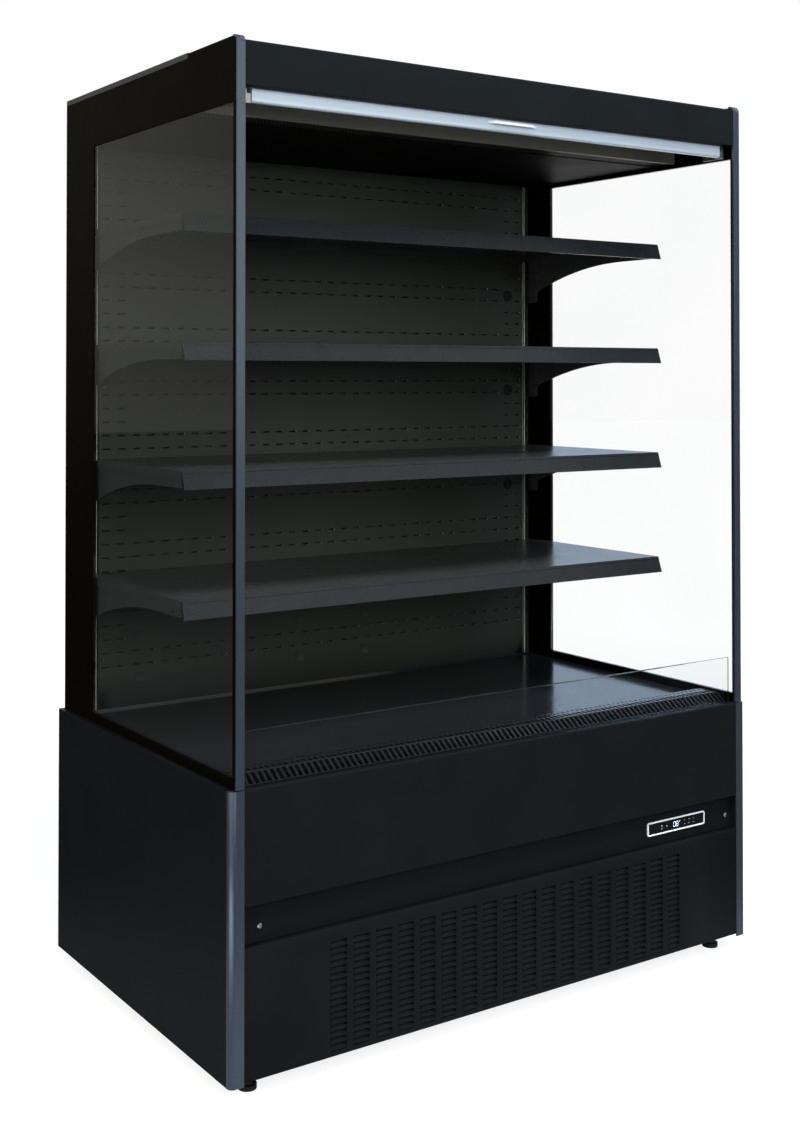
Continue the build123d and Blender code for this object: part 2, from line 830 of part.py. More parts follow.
with BuildPart() as side_glass:
    with BuildSketch(Plane.YZ.offset(inner_x + (side_thickness - pane_thickness) / 2)):
        with Locations(((window_front_y + window_rear_y) / 2, (window_bottom_z + window_top_z) / 2)):
            Rectangle(
                window_rear_y - window_front_y - 2 * fit_gap,
                window_top_z - window_bottom_z - 2 * fit_gap,
            )
    extrude(amount=pane_thickness)
    mirror(about=Plane.YZ)

# Aluminium edge profile: up the front edge, round the top corner and a little way back.
with BuildPart() as front_profiles:
    with BuildSketch(Plane.YZ.offset(profile_x)):
        with BuildLine():
            FilletPolyline(
                (front_y, base_top + profile_foot_gap),
                (front_y, overall_height),
                (profile_end_y, overall_height),
                radius=profile_corner,
            )
            offset(amount=profile_thickness, side=Side.RIGHT)
        make_face()
    extrude(amount=profile_width)
    with BuildSketch(Plane.XY.offset(base_top + profile_foot_gap)):
        with Locations((profile_x, side_front_y)):
            Rectangle(profile_fin_thickness, profile_fin, align=(Align.MIN, Align.MIN))
    extrude(amount=overall_height - profile_fin_drop - base_top - profile_foot_gap)
    mirror(about=Plane.YZ)

# ---------------------------------------------------------------- canopy
with BuildPart() as canopy_fascia:
    with BuildSketch(Plane.YZ):
        with BuildLine():
            FilletPolyline(
                (fascia_y + fascia_lip, fascia_bottom),
                (fascia_y, fascia_bottom),
                (fascia_y, fascia_top),
                (roof_front_y - fit_gap, fascia_top),
                radius=[bend, fascia_bend],
            )
            offset(amount=sheet, side=Side.RIGHT)
        make_face()
    extrude(amount=fascia_x, both=True)

with BuildPart() as air_duct_wall:
    with BuildSketch(Plane.YZ):
        with BuildLine():
            Polyline(
                (duct_y + duct_flange, slab_bottom),
                (duct_y, slab_bottom),
                (duct_y, ceiling_z),
                (duct_y + outlet_lip, ceiling_z),
            )
            offset(amount=sheet, side=Side.LEFT)
        make_face()
    extrude(amount=liner_x, both=True)

# Air outlet: a frame of upright cells between the duct wall and the ceiling.
outlet_front_y = duct_y + sheet + fit_gap
outlet_depth = outlet_rear_y - outlet_front_y
honeycomb_pitch = (2 * liner_x - honeycomb_wall) / honeycomb_cells

with BuildPart() as honeycomb_grille:
    with BuildSketch(Plane.XY.offset(ceiling_z + sheet + fit_gap)):
        with Locations((0, (outlet_front_y + outlet_rear_y) / 2)):
            Rectangle(2 * liner_x, outlet_depth)
            with GridLocations(honeycomb_pitch, 1, honeycomb_cells, 1):
                Rectangle(
                    honeycomb_pitch - honeycomb_rib,
                    outlet_depth - 2 * honeycomb_wall,
                    mode=Mode.SUBTRACT,
                )
    extrude(amount=honeycomb_height)

with BuildPart() as ceiling_panel:
    with BuildSketch(Plane.YZ):
        with Locations((outlet_rear_y - ceiling_lip, ceiling_z)):
            Rectangle(
                back_panel_y - fit_gap - outlet_rear_y + ceiling_lip,
                sheet,
                align=(Align.MIN, Align.MIN),
            )
        with Locations((outlet_rear_y + fit_gap, ceiling_z)):
            Rectangle(sheet, duct_height - fit_gap, align=(Align.MIN, Align.MIN))
    extrude(amount=liner_x, both=True)

# ---------------------------------------------------------------- display space
with BuildPart() as back_panel:
    with BuildSketch(Plane.XY.offset(deck_top + ledge_rise)):
        with BuildLine():
            Polyline(
                (back_panel_x, back_inner_y - fit_gap),
                (back_panel_x, back_panel_y),
                (-back_panel_x, back_panel_y),
                (-back_panel_x, back_inner_y - fit_gap),
            )
            offset(amount=sheet, side=Side.RIGHT)
        make_face()
    extrude(amount=ceiling_z + sheet - deck_top - ledge_rise)

# Slotted uprights that the shelf brackets hook into.
upright_bottom = tub_top + fit_gap
upright_top = ceiling_z - fit_gap
slot_low = shelf_tops[0] - hook_drop
slots_below = int((slot_low - upright_bottom - slot_margin) / slot_pitch)
slots_above = int((upright_top - slot_margin - slot_low) / slot_pitch)
slot_levels = [slot_low + slot_pitch * k for k in range(-slots_below, slots_above + 1)]

with BuildPart() as uprights:
    with BuildSketch(Plane.XY.offset(upright_bottom)):
        with BuildLine():
            Polyline(
                (upright_inner_x + plate, upright_face_y - upright_lip + plate),
                (upright_inner_x + plate, upright_face_y),
                (upright_x, upright_face_y),
                (upright_x, back_inner_y - fit_gap),
            )
            offset(amount=plate, side=Side.LEFT)
        make_face()
    extrude(amount=upright_top - upright_bottom)
    with BuildSketch(Plane.XZ.offset(-upright_face_y)):
        for level in slot_levels:
            with Locations((slot_x, level)):
                Rectangle(slot_width, slot_height)
    extrude(amount=-plate, mode=Mode.SUBTRACT)
    mirror(about=Plane.YZ)

# Deck: a folded tray standing on the rim of the tub, with a low upstand at the back.
with BuildPart() as deck_tray:
    with BuildSketch(Plane.YZ):
        with BuildLine():
            Polyline(
                (deck_front_y, tub_top + fit_gap),
                (deck_front_y, deck_top),
                (deck_rear_y - sheet, deck_top),
                (deck_rear_y - sheet, deck_top + deck_upstand),
            )
            offset(amount=sheet, side=Side.RIGHT)
        make_face()
    extrude(amount=deck_x, both=True)
    with BuildSketch(Plane.XY.offset(tub_top + fit_gap)):
        for side in (-1, 1):
            with Locations((side * (deck_x - sheet / 2), (deck_front_y + deck_rear_y) / 2)):
                Rectangle(sheet, deck_rear_y - deck_front_y)
    extrude(amount=deck_top - tub_top - sheet)

# Air intake grille: a folded sheet in front of the deck with long slots in its slope.
grille_slope = sqrt(grille_slope_depth**2 + grille_slope_rise**2)
grille_span = 2 * (deck_x - grille_end_margin) - grille_slot_width
grille_columns = int(grille_span / grille_pitch) + 1
grille_slope_plane = Plane(
    (0, grille_y + grille_slope_depth / 2, grille_slope_z + grille_slope_rise / 2),
    x_dir=(1, 0, 0),
    z_dir=(0, -grille_slope_rise, grille_slope_depth),
)

with BuildPart() as intake_grille:
    with BuildSketch(Plane.YZ):
        with BuildLine():
            Polyline(
                (grille_y, tub_top + fit_gap),
                (grille_y, grille_slope_z),
                (grille_crest_y, grille_top_z),
                (grille_rear_y, grille_top_z),
                (grille_rear_y, deck_top - grille_lap),
            )
            offset(amount=thin_sheet, side=Side.RIGHT)
        make_face()
    extrude(amount=deck_x, both=True)
    with BuildSketch(grille_slope_plane):
        with GridLocations(grille_pitch, 1, grille_columns, 1):
            Rectangle(grille_slot_width, grille_slot_length)
    extrude(amount=plate, both=True, mode=Mode.SUBTRACT)

with BuildPart() as riser_channel:
    with BuildSketch(Plane.YZ):
        with BuildLine():
            Polyline(
                (channel_front_y, channel_top),
                (channel_front_y, tub_top + fit_gap),
                (channel_rear_y, tub_top + fit_gap),
                (channel_rear_y, channel_top),
            )
            offset(amount=sheet, side=Side.LEFT)
        make_face()
    extrude(amount=liner_x, both=True)

with BuildPart() as glass_riser:
    with BuildSketch(Plane.XY.offset(tub_top + 2 * fit_gap + sheet)):
        with Locations((0, riser_y)):
            Rectangle(2 * riser_x, riser_thickness, align=(Align.CENTER, Align.MIN))
    extrude(amount=riser_top - tub_top - 2 * fit_gap - sheet)
    chamfer(glass_riser.faces().sort_by(Axis.Z)[-1].edges().filter_by(Axis.X), riser_thickness / 5)


# Shelf: a thin folded tray welded over two cantilever brackets with hooks at the back.
def shelf(top):
    under = top - thin_sheet
    tab_front = upright_face_y - fit_gap - bracket_tab_width
    arc_front = tab_front - bracket_arc_length
    with BuildPart() as tray:
        with BuildSketch(Plane.YZ):
            with BuildLine():
                Polyline(
                    (shelf_front_y, top - shelf_front_flange),
                    (shelf_front_y, top),
                    (shelf_rear_y, top),
                    (shelf_rear_y, top - shelf_rear_flange),
                )
                offset(amount=thin_sheet, side=Side.RIGHT)
            make_face()
        extrude(amount=shelf_x - bend, both=True)
        with BuildSketch(Plane.XZ.offset(-shelf_rear_y)):
            with BuildLine():
                Polyline(
                    (-shelf_x, top - shelf_side_flange),
                    (-shelf_x, top),
                    (shelf_x, top),
                    (shelf_x, top - shelf_side_flange),
                )
                offset(amount=thin_sheet, side=Side.RIGHT)
            make_face()
        extrude(amount=shelf_rear_y - shelf_front_y)
        for side in (-1, 1):
            with BuildSketch(Plane.YZ.offset(side * bracket_x)) as outline:
                with BuildLine():
                    Line((shelf_front_y + bracket_front_inset, under - bracket_arm), (arc_front, under - bracket_arm))
                    haunch = TangentArc(
                        (arc_front, under - bracket_arm), (tab_front, top - bracket_haunch), tangent=(1, 0)
                    )
                    Polyline(
                        haunch @ 1,
                        (tab_front, top - bracket_tab_height),
                        (tab_front + bracket_tab_width, top - bracket_tab_height),
                        (tab_front + bracket_tab_width, under),
                        (shelf_front_y + bracket_front_inset, under),
                        (shelf_front_y + bracket_front_inset, under - bracket_arm),
                    )
                make_face()
                tab_corners = outline.vertices().group_by(Axis.Y)[0].sort_by(Axis.X)
                fillet(tab_corners[0], bracket_corner)
                chamfer(tab_corners[-1], bracket_corner / 2)
                for level in hook_levels:
                    neck = top - level - slot_height / 2 + hook_play
                    reach = fit_gap + plate + hook_play
                    with Locations((tab_front + bracket_tab_width, neck)):
                        Rectangle(reach, hook_height, align=(Align.MIN, Align.MIN))
                    with Locations((tab_front + bracket_tab_width + reach, neck - hook_tip)):
                        Rectangle(
                            hook_tip_thickness, hook_tip + hook_height, align=(Align.MIN, Align.MIN)
                        )
            extrude(amount=bracket_thickness / 2, both=True)
    return tray


# Price-ticket strip: a leaning face on a short leg clipped to the shelf's front edge.
def ticket_strip(top):
    leg_y = shelf_front_y - fit_gap
    lean = ticket_slope / ticket_height
    wall = ticket_wall * sqrt(1 + lean**2)
    face_y = leg_y - ticket_top
    lip_y = face_y - ticket_slope
    pocket = (ticket_top + ticket_wall - ticket_wall - wall) / lean
    with BuildPart() as strip:
        with BuildSketch(Plane.YZ):
            with BuildLine():
                Polyline(
                    (leg_y, top - ticket_leg),
                    (leg_y, top),
                    (face_y, top),
                    (lip_y, top - ticket_height),
                    (lip_y + ticket_lip, top - ticket_height),
                    (lip_y + ticket_lip, top - ticket_height + ticket_wall),
                    (lip_y + ticket_wall * lean + wall, top - ticket_height + ticket_wall),
                    (leg_y - ticket_wall, top - pocket),
                    (leg_y - ticket_wall, top - ticket_leg),
                    close=True,
                )
            make_face()
        extrude(amount=shelf_x, both=True)
    return strip


shelves = [shelf(top) for top in shelf_tops]
ticket_strips = [ticket_strip(top) for top in shelf_tops]

# ---------------------------------------------------------------- air fans and evaporator
evap_fan_z = (tub_floor_z + tub_top) / 2
evap_hole = evap_fan_radius + evap_fan_hole_gap
evap_fan_front = fan_plate_y + sheet + fit_gap
evap_motor_front = evap_fan_front + evap_fan_hub_depth + fit_gap

with BuildPart() as fan_plate:
    with BuildSketch(Plane.XZ.offset(-fan_plate_y)):
        with Locations((0, tub_floor_z + fit_gap)):
            Rectangle(
                2 * (tub_inner_x - fit_gap),
                tub_top - tub_floor_z - 2 * fit_gap,
                align=(Align.CENTER, Align.MIN),
            )
        with Locations((evap_fan_x, evap_fan_z), (-evap_fan_x, evap_fan_z)):
            Circle(evap_hole, mode=Mode.SUBTRACT)
    extrude(amount=-sheet)

evap_fan_left = axial_fan(
    -evap_fan_x,
    evap_fan_front,
    evap_fan_z,
    evap_fan_radius,
    evap_fan_hub_radius,
    evap_fan_hub_depth,
    evap_fan_chord,
)
evap_fan_right = axial_fan(
    evap_fan_x,
    evap_fan_front,
    evap_fan_z,
    evap_fan_radius,
    evap_fan_hub_radius,
    evap_fan_hub_depth,
    evap_fan_chord,
)
evap_fan_motors = fan_motors(
    [-evap_fan_x, evap_fan_x],
    fan_plate_y + sheet,
    evap_motor_front,
    evap_fan_z,
    evap_motor_radius,
    evap_motor_length,
    evap_hole + arm_overlap,
)

evaporator_pitch = 2 * evaporator_half_width / (evaporator_fins + 1)

with BuildPart() as evaporator:
    with BuildSketch(Plane.XY.offset(tub_floor_z + fit_gap)):
        with Locations((0, evaporator_y)):
            Rectangle(2 * evaporator_half_width, evaporator_depth)
    extrude(amount=evaporator_height)
    with BuildSketch(Plane.XY.offset(tub_floor_z + fit_gap + end_plate)):
        with Locations((0, evaporator_y - evaporator_depth / 2)):
            with GridLocations(evaporator_pitch, 1, evaporator_fins, 1):
                Rectangle(evaporator_pitch / 2, 2 * fin_gap_depth)
    extrude(amount=evaporator_height - 2 * end_plate, mode=Mode.SUBTRACT)

# ---------------------------------------------------------------- night blind
bracket_top = axis_z + bracket_rise
bracket_low = axis_z - bracket_drop
bracket_front_y = axis_y - bracket_half_depth
wall_leg_x = inner_x - fit_gap
tab_bottom = bracket_low

with BuildPart() as blind_brackets:
    with BuildSketch(Plane.XZ.offset(-axis_y - bracket_half_depth)):
        with BuildLine():
            Polyline(
                (wall_leg_x, bracket_top - bracket_side_leg),
                (wall_leg_x, bracket_top),
                (blind_bracket_x - plate, bracket_top),
                (blind_bracket_x - plate, bracket_low),
            )
            offset(amount=plate, side=Side.LEFT)
        make_face()
    extrude(amount=2 * bracket_half_depth)
    with BuildSketch(Plane.XZ.offset(-bracket_front_y)):
        with Locations((blind_bracket_x, tab_bottom)):
            Rectangle(tab_length, tab_height, align=(Align.MAX, Align.MIN))
    extrude(amount=-plate)
    with BuildSketch(Plane.YZ.offset(blind_bracket_x - 2 * plate)):
        with Locations((axis_y, axis_z)):
            Circle(tube_pin_radius + running_gap)
    extrude(amount=3 * plate, mode=Mode.SUBTRACT)
    mirror(about=Plane.YZ)

tube_x = blind_bracket_x - plate - tube_end_gap

with BuildPart() as blind_tube:
    with BuildSketch(Plane.YZ.offset(-tube_x)):
        with Locations((axis_y, axis_z)):
            Circle(tube_radius)
    extrude(amount=2 * tube_x)
    with BuildSketch(Plane.YZ.offset(-tube_x - tube_pin_length)):
        with Locations((axis_y, axis_z)):
            Circle(tube_pin_radius)
    extrude(amount=2 * tube_x + 2 * tube_pin_length)

with BuildPart() as blind_roll:
    with BuildSketch(Plane.YZ.offset(-bar_x)):
        with Locations((axis_y, axis_z)):
            Circle(roll_radius)
            Circle(tube_radius + fit_gap, mode=Mode.SUBTRACT)
    extrude(amount=2 * bar_x)

with BuildPart() as blind_drop:
    with BuildSketch(Plane.XY.offset(bar_top + fit_gap)):
        with Locations((0, cloth_y - fit_gap / 3)):
            Rectangle(2 * bar_x, cloth_thickness, align=(Align.CENTER, Align.MAX))
    extrude(amount=axis_z - bar_top - fit_gap)

# Pull bar: an extrusion with a rounded lower edge.
with BuildPart() as blind_bar:
    with BuildSketch(Plane.YZ) as section:
        with Locations((bar_front_y, bar_bottom)):
            Rectangle(bar_depth, bar_height, align=(Align.MIN, Align.MIN))
        fillet(section.vertices().group_by(Axis.Y)[0], bar_corner)
        fillet(section.vertices().group_by(Axis.Y)[-1], bar_edge)
    extrude(amount=bar_x, both=True)

handle_root_y = bar_front_y - fit_gap
handle_front_y = bar_front_y - handle_reach

with BuildPart() as blind_handle:
    with BuildSketch(Plane.XY.offset(bar_bottom + handle_rise)):
        with BuildLine():
            Polyline(
                (-handle_half - handle_slant - handle_foot, handle_root_y),
                (-handle_half - handle_slant, handle_root_y),
                (-handle_half, handle_front_y + handle_strap),
                (handle_half, handle_front_y + handle_strap),
                (handle_half + handle_slant, handle_root_y),
                (handle_half + handle_slant + handle_foot, handle_root_y),
            )
            offset(amount=handle_strap, side=Side.RIGHT)
        make_face()
    extrude(amount=handle_width)

# ---------------------------------------------------------------- written pieces
pieces = {
    "base_pan": base_pan,
    "base_side_left": base_side_left,
    "base_side_right": base_side_right,
    "base_back_panel": base_back_panel,
    "corner_posts": corner_posts,
    "front_upper_panel": front_upper_panel,
    "controller_strip": controller_strip,
    "controller_bezel": controller_bezel,
    "controller_display": controller_display,
    "panel_screws": panel_screws,
    "louvre_panel": louvre_panel,
    "power_inlet": power_inlet,
    "foot_front_left": foot_front_left,
    "foot_front_right": foot_front_right,
    "foot_rear_left": foot_rear_left,
    "foot_rear_right": foot_rear_right,
    "condenser": condenser,
    "condenser_shroud": condenser_shroud,
    "condenser_fan": condenser_fan,
    "condenser_fan_motor": condenser_fan_motor,
    "compressor": compressor,
    "control_box": control_box,
    "evaporation_tray": evaporation_tray,
    "refrigerant_pipes": refrigerant_pipes,
    "insulated_tub": insulated_tub,
    "insulated_back": insulated_back,
    "insulated_roof": insulated_roof,
    "side_frame_left": side_frame_left,
    "side_frame_right": side_frame_right,
    "side_glass": side_glass,
    "front_profiles": front_profiles,
    "canopy_fascia": canopy_fascia,
    "air_duct_wall": air_duct_wall,
    "honeycomb_grille": honeycomb_grille,
    "ceiling_panel": ceiling_panel,
    "back_panel": back_panel,
    "uprights": uprights,
    "deck_tray": deck_tray,
    "intake_grille": intake_grille,
    "riser_channel": riser_channel,
    "glass_riser": glass_riser,
    "fan_plate": fan_plate,
    "evap_fan_left": evap_fan_left,
    "evap_fan_right": evap_fan_right,
    "evap_fan_motors": evap_fan_motors,
    "evaporator": evaporator,
    "blind_brackets": blind_brackets,
    "blind_tube": blind_tube,
    "blind_roll": blind_roll,
    "blind_drop": blind_drop,
    "blind_bar": blind_bar,
    "blind_handle": blind_handle,
}
for number, (tray, strip) in enumerate(zip(shelves, ticket_strips), start=1):
    pieces[f"shelf_{number}"] = tray
    pieces[f"ticket_strip_{number}"] = strip

for node, piece in pieces.items():
    piece.part.label = node
    export_step(piece.part, f"parts/{node}.step")
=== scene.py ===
"""Open multideck display fridge: the finishes and the fine forms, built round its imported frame.

Everything is in metres, with +Z up and the front towards -Y. A piece's place comes from the frame's
boxes, and sizes that no box gives are written in millimetres as fields of the sub-assembly's class.
"""

import logging
import math
from dataclasses import dataclass
from enum import Enum
from typing import Callable, Iterable, Sequence

import bmesh
import bpy
from mathutils import Matrix, Vector


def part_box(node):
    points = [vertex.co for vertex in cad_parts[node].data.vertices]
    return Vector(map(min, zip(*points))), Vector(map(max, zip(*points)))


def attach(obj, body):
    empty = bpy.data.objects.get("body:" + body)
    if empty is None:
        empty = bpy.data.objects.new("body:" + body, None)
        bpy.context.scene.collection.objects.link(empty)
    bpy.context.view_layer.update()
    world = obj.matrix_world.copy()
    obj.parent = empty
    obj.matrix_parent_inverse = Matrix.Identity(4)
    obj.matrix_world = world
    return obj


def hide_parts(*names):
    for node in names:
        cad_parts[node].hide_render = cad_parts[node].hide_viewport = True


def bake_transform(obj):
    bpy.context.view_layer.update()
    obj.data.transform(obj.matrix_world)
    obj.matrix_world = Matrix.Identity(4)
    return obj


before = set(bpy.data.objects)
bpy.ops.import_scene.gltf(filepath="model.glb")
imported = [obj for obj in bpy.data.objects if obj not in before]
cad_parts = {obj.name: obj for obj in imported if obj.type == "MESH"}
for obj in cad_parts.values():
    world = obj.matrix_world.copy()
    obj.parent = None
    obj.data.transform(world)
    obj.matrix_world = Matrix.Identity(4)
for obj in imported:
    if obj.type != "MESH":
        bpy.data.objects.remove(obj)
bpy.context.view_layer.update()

Tree = bpy.types.NodeTree
Socket = bpy.types.NodeSocket
Shape = bmesh.types.BMesh
Face = bmesh.types.BMFace
Edge = bmesh.types.BMEdge
Vert = bmesh.types.BMVert
Triple = tuple[float, float, float]

MM = 0.001
SMOOTH_ANGLE = math.radians(35)
EASE_ANGLE = math.radians(40)
WELD_GAP = 0.01 * MM
MIX_FIRST, MIX_SECOND, MIX_COLOUR = 6, 7, 2  # colour sockets of a Mix node
IN_COLOUR = {"data_type": "RGBA"}  # a Mix node's setting for colours
SOFTLY = {"interpolation_type": "SMOOTHSTEP"}  # a Map Range node's setting for a soft fall
WHITE = (1, 1, 1, 1)
CUT_OUT = 1  # material index of faces that are punched out
SHELVES = (1, 2, 3, 4)
SIDES = (("left", -1), ("right", 1))
ALONG_Y = Vector((0, 1, 0))

log = logging.getLogger("display_fridge")


class Body(Enum):
    """The moving bodies of the frame that new pieces ride on."""

    CABINET = "cabinet"
    BLIND_BAR = "blind_bar"
    ROLLER = "blind_roller"
    SHELF_1 = "shelf_1"
    SHELF_2 = "shelf_2"
    SHELF_3 = "shelf_3"
    SHELF_4 = "shelf_4"


# ---------------------------------------------------------------- small helpers
def linear(code: str) -> tuple[float, float, float, float]:
    """Turn an sRGB hex colour into linear light.

    Args:
        code: six hex digits, such as "1b1c1e".

    Returns:
        Red, green, blue and an alpha of 1.
    """
    parts = [int(code[i : i + 2], 16) / 255 for i in (0, 2, 4)]
    light = [p / 12.92 if p <= 0.04045 else ((p + 0.055) / 1.055) ** 2.4 for p in parts]
    return (*light, 1.0)


def add_node(
    tree: Tree,
    kind: str,
    settings: dict | None = None,
    values: dict | None = None,
    links: dict | None = None,
    output: int | str = 0,
) -> Socket | None:
    """Add one node to a material or world.

    Args:
        tree: the node tree it goes into.
        kind: Blender's name of the node type, after "ShaderNode".
        settings: the node's own properties.
        values: default values of its input sockets.
        links: the output sockets that feed its input sockets.
        output: which of its output sockets is wanted.

    Returns:
        That socket, or None from a node that has none.
    """
    node = tree.nodes.new(f"ShaderNode{kind}")
    for key, value in (settings or {}).items():
        setattr(node, key, value)
    for key, value in (values or {}).items():
        node.inputs[key].default_value = value
    for key, source in (links or {}).items():
        tree.links.new(source, node.inputs[key])
    return node.outputs[output] if node.outputs else None


# ---------------------------------------------------------------- finishes
@dataclass(frozen=True)
class Finish:
    """A finish: its plain name and the record's slot that it stands for."""

    name: str
    slot: str

    def material(self) -> bpy.types.Material:
        """Return this finish's material, made once.

        Returns:
            The material.
        """
        found = bpy.data.materials.get(self.name)
        if found:
            return found
        made = bpy.data.materials.new(self.name)
        made.use_nodes = True
        made.node_tree.nodes.clear()
        add_node(made.node_tree, "OutputMaterial", links={"Surface": self.surface(made.node_tree)})
        return made

    def surface(self, tree: Tree) -> Socket:
        """Build the shader and return its output socket."""
        raise NotImplementedError

    def pattern(
        self,
        tree: Tree,
        size_mm: float,
        detail: float | None = None,
        stretch: Triple = (1, 1, 1),
        kind: str = "TexNoise",
        output: str = "Fac",
    ) -> Socket:
        """Lay a texture on the piece's own coordinates.

        Args:
            tree: node tree that gets the nodes.
            size_mm: about how wide one feature is.
            detail: how fine it breaks up, where the texture has that.
            stretch: how much finer it is along each axis.
            kind: the texture's node type.
            output: the texture's socket that is wanted.

        Returns:
            That socket.
        """
        place = add_node(tree, "TexCoord", output="Object")
        laid = add_node(tree, "Mapping", values={"Scale": stretch}, links={"Vector": place})
        values = {"Scale": 1 / (size_mm * MM)}
        if detail is not None:
            values["Detail"] = detail
        return add_node(tree, kind, values=values, links={"Vector": laid}, output=output)


@dataclass(frozen=True)
class Varied(Finish):
    """A finish of two near colours and an uneven gloss."""

    dark: str
    light: str
    roughness: float

    def varied(
        self,
        tree: Tree,
        values: dict,
        colour: Socket,
        gloss: Socket,
        swing: tuple[float, float],
        relief: tuple[Socket, float, float] | None = None,
    ) -> Socket:
        """Build the shader from the patterns of its colour, gloss and relief.

        Args:
            tree: node tree that gets the nodes.
            values: what is the same all over the surface.
            colour: the pattern that mixes the two colours.
            gloss: the pattern of its roughness.
            swing: how far that falls below and rises above the finish's roughness.
            relief: a pattern, its height in millimetres and its strength.

        Returns:
            The shader's output socket.
        """
        shades = {MIX_FIRST: linear(self.dark), MIX_SECOND: linear(self.light)}
        fall, rise = swing
        reach = {
            "From Min": 0.3, "From Max": 0.7,
            "To Min": self.roughness - fall, "To Max": self.roughness + rise,
        }
        links = {
            "Base Color": add_node(tree, "Mix", IN_COLOUR, shades, {"Factor": colour}, MIX_COLOUR),
            "Roughness": add_node(tree, "MapRange", values=reach, links={"Value": gloss}),
        }
        if relief:
            source, height_mm, strength = relief
            raised = {"Strength": strength, "Distance": height_mm * MM}
            links["Normal"] = add_node(tree, "Bump", values=raised, links={"Height": source})
        return add_node(tree, "BsdfPrincipled", values=values, links=links)


@dataclass(frozen=True)
class PowderCoat(Varied):
    """Polyester powder coat on steel: satin, with a fine orange peel and a few softer patches."""

    peel_mm: float = 2.2
    peel: float = 0.12
    ior: float = 1.45

    def surface(self, tree: Tree) -> Socket:
        """Build the coat: peel in the normal, cloudiness in colour and roughness.

        Args:
            tree: the material's node tree.

        Returns:
            The shader's output socket.
        """
        cloud = self.pattern(tree, 140, 3)
        peel = (self.pattern(tree, self.peel_mm, 1), 0.05, self.peel)
        return self.varied(tree, {"IOR": self.ior}, cloud, cloud, (0.03, 0.03), peel)


@dataclass(frozen=True)
class DrawnAluminium(Varied):
    """Anodised aluminium extrusion: metal with die lines along its length."""

    line_mm: float = 1.2
    along: Triple = (1, 1, 0.004)
    metallic: float = 1.0

    def surface(self, tree: Tree) -> Socket:
        """Build the metal with lines that run the way it was drawn.

        Args:
            tree: the material's node tree.

        Returns:
            The shader's output socket.
        """
        lines = self.pattern(tree, self.line_mm, 2, self.along)
        values = {"Metallic": self.metallic}
        return self.varied(tree, values, lines, lines, (0.05, 0.06), (lines, 0.02, 0.15))


@dataclass(frozen=True)
class BareMetal(Varied):
    """Rolled, cast or plated metal: mottled colour and roughness."""

    mottle_mm: float

    def surface(self, tree: Tree) -> Socket:
        """Build the metal with flakes a few millimetres wide.

        Args:
            tree: the material's node tree.

        Returns:
            The shader's output socket.
        """
        flakes = self.pattern(tree, self.mottle_mm, kind="TexVoronoi", output="Color")
        flake = add_node(tree, "SeparateColor", links={"Color": flakes}, output="Red")
        return self.varied(tree, {"Metallic": 1.0}, flake, flake, (0.04, 0.05))


@dataclass(frozen=True)
class Moulded(Varied):
    """Moulded plastic or rubber with a fine spark-eroded grain."""

    grain_mm: float
    grain: float
    ior: float = 1.49

    def surface(self, tree: Tree) -> Socket:
        """Build the plastic with its grain in the normal.

        Args:
            tree: the material's node tree.

        Returns:
            The shader's output socket.
        """
        grain = self.pattern(tree, self.grain_mm, 2)
        cloud = self.pattern(tree, 30, 2)
        relief = (grain, 0.03, self.grain)
        return self.varied(tree, {"IOR": self.ior}, cloud, grain, (0.04, 0.05), relief)


@dataclass(frozen=True)
class FloatGlass(Finish):
    """Toughened float glass: clear and smooth, and it lets the lamps through."""

    tint: str
    ior: float = 1.25
    cast_mm: float = 320.0

    def surface(self, tree: Tree) -> Socket:
        """Build the glass with the faint uneven cast that float glass has.

        Args:
            tree: the material's node tree.

        Returns:
            The shader's output socket.
        """
        cast = self.pattern(tree, self.cast_mm, 0)
        shades = {MIX_FIRST: linear(self.tint), MIX_SECOND: linear("ffffff")}
        tint = add_node(tree, "Mix", IN_COLOUR, shades, {"Factor": cast}, MIX_COLOUR)
        values = {"Roughness": 0.0, "IOR": self.ior, "Transmission Weight": 1.0}
        glass = add_node(tree, "BsdfPrincipled", values=values, links={"Base Color": tint})
        clear = add_node(tree, "BsdfTransparent", values={"Color": linear(self.tint)})
        shadow = add_node(tree, "LightPath", output="Is Shadow Ray")
        return add_node(tree, "MixShader", links={0: shadow, 1: glass, 2: clear})


@dataclass(frozen=True)
class BlindCloth(Finish):
    """Woven blind cloth with a metallised face: thin threads in both directions."""

    dark: str = "8f969b"
    light: str = "b4bbc0"
    gaps: str = "5d6368"
    thread_mm: float = 1.6
    fibre_map: str = "Cloth"  # UV map in metres of width and length

    def surface(self, tree: Tree) -> Socket:
        """Build the weave on the cloth's own map, which follows its length.

        Args:
            tree: the material's node tree.

        Returns:
            The shader's output socket.
        """
        place = add_node(tree, "UVMap", {"uv_map": self.fibre_map})
        threads = {
            "Scale": 1 / (self.thread_mm * MM), "Color1": linear(self.dark),
            "Color2": linear(self.light), "Mortar": linear(self.gaps), "Mortar Size": 0.06,
            "Brick Width": 2.0, "Row Height": 1.0,
        }
        weave = add_node(tree, "TexBrick", {"offset": 0.5}, threads, {"Vector": place})
        raised = {"Strength": 0.4, "Distance": 0.1 * MM}
        relief = add_node(
            tree, "Bump", values=raised, links={"Height": weave.node.outputs["Fac"]}
        )
        values = {"Metallic": 0.35, "Roughness": 0.55, "Sheen Weight": 0.3}
        return add_node(tree, "BsdfPrincipled", values=values, links={"Base Color": weave, "Normal": relief})


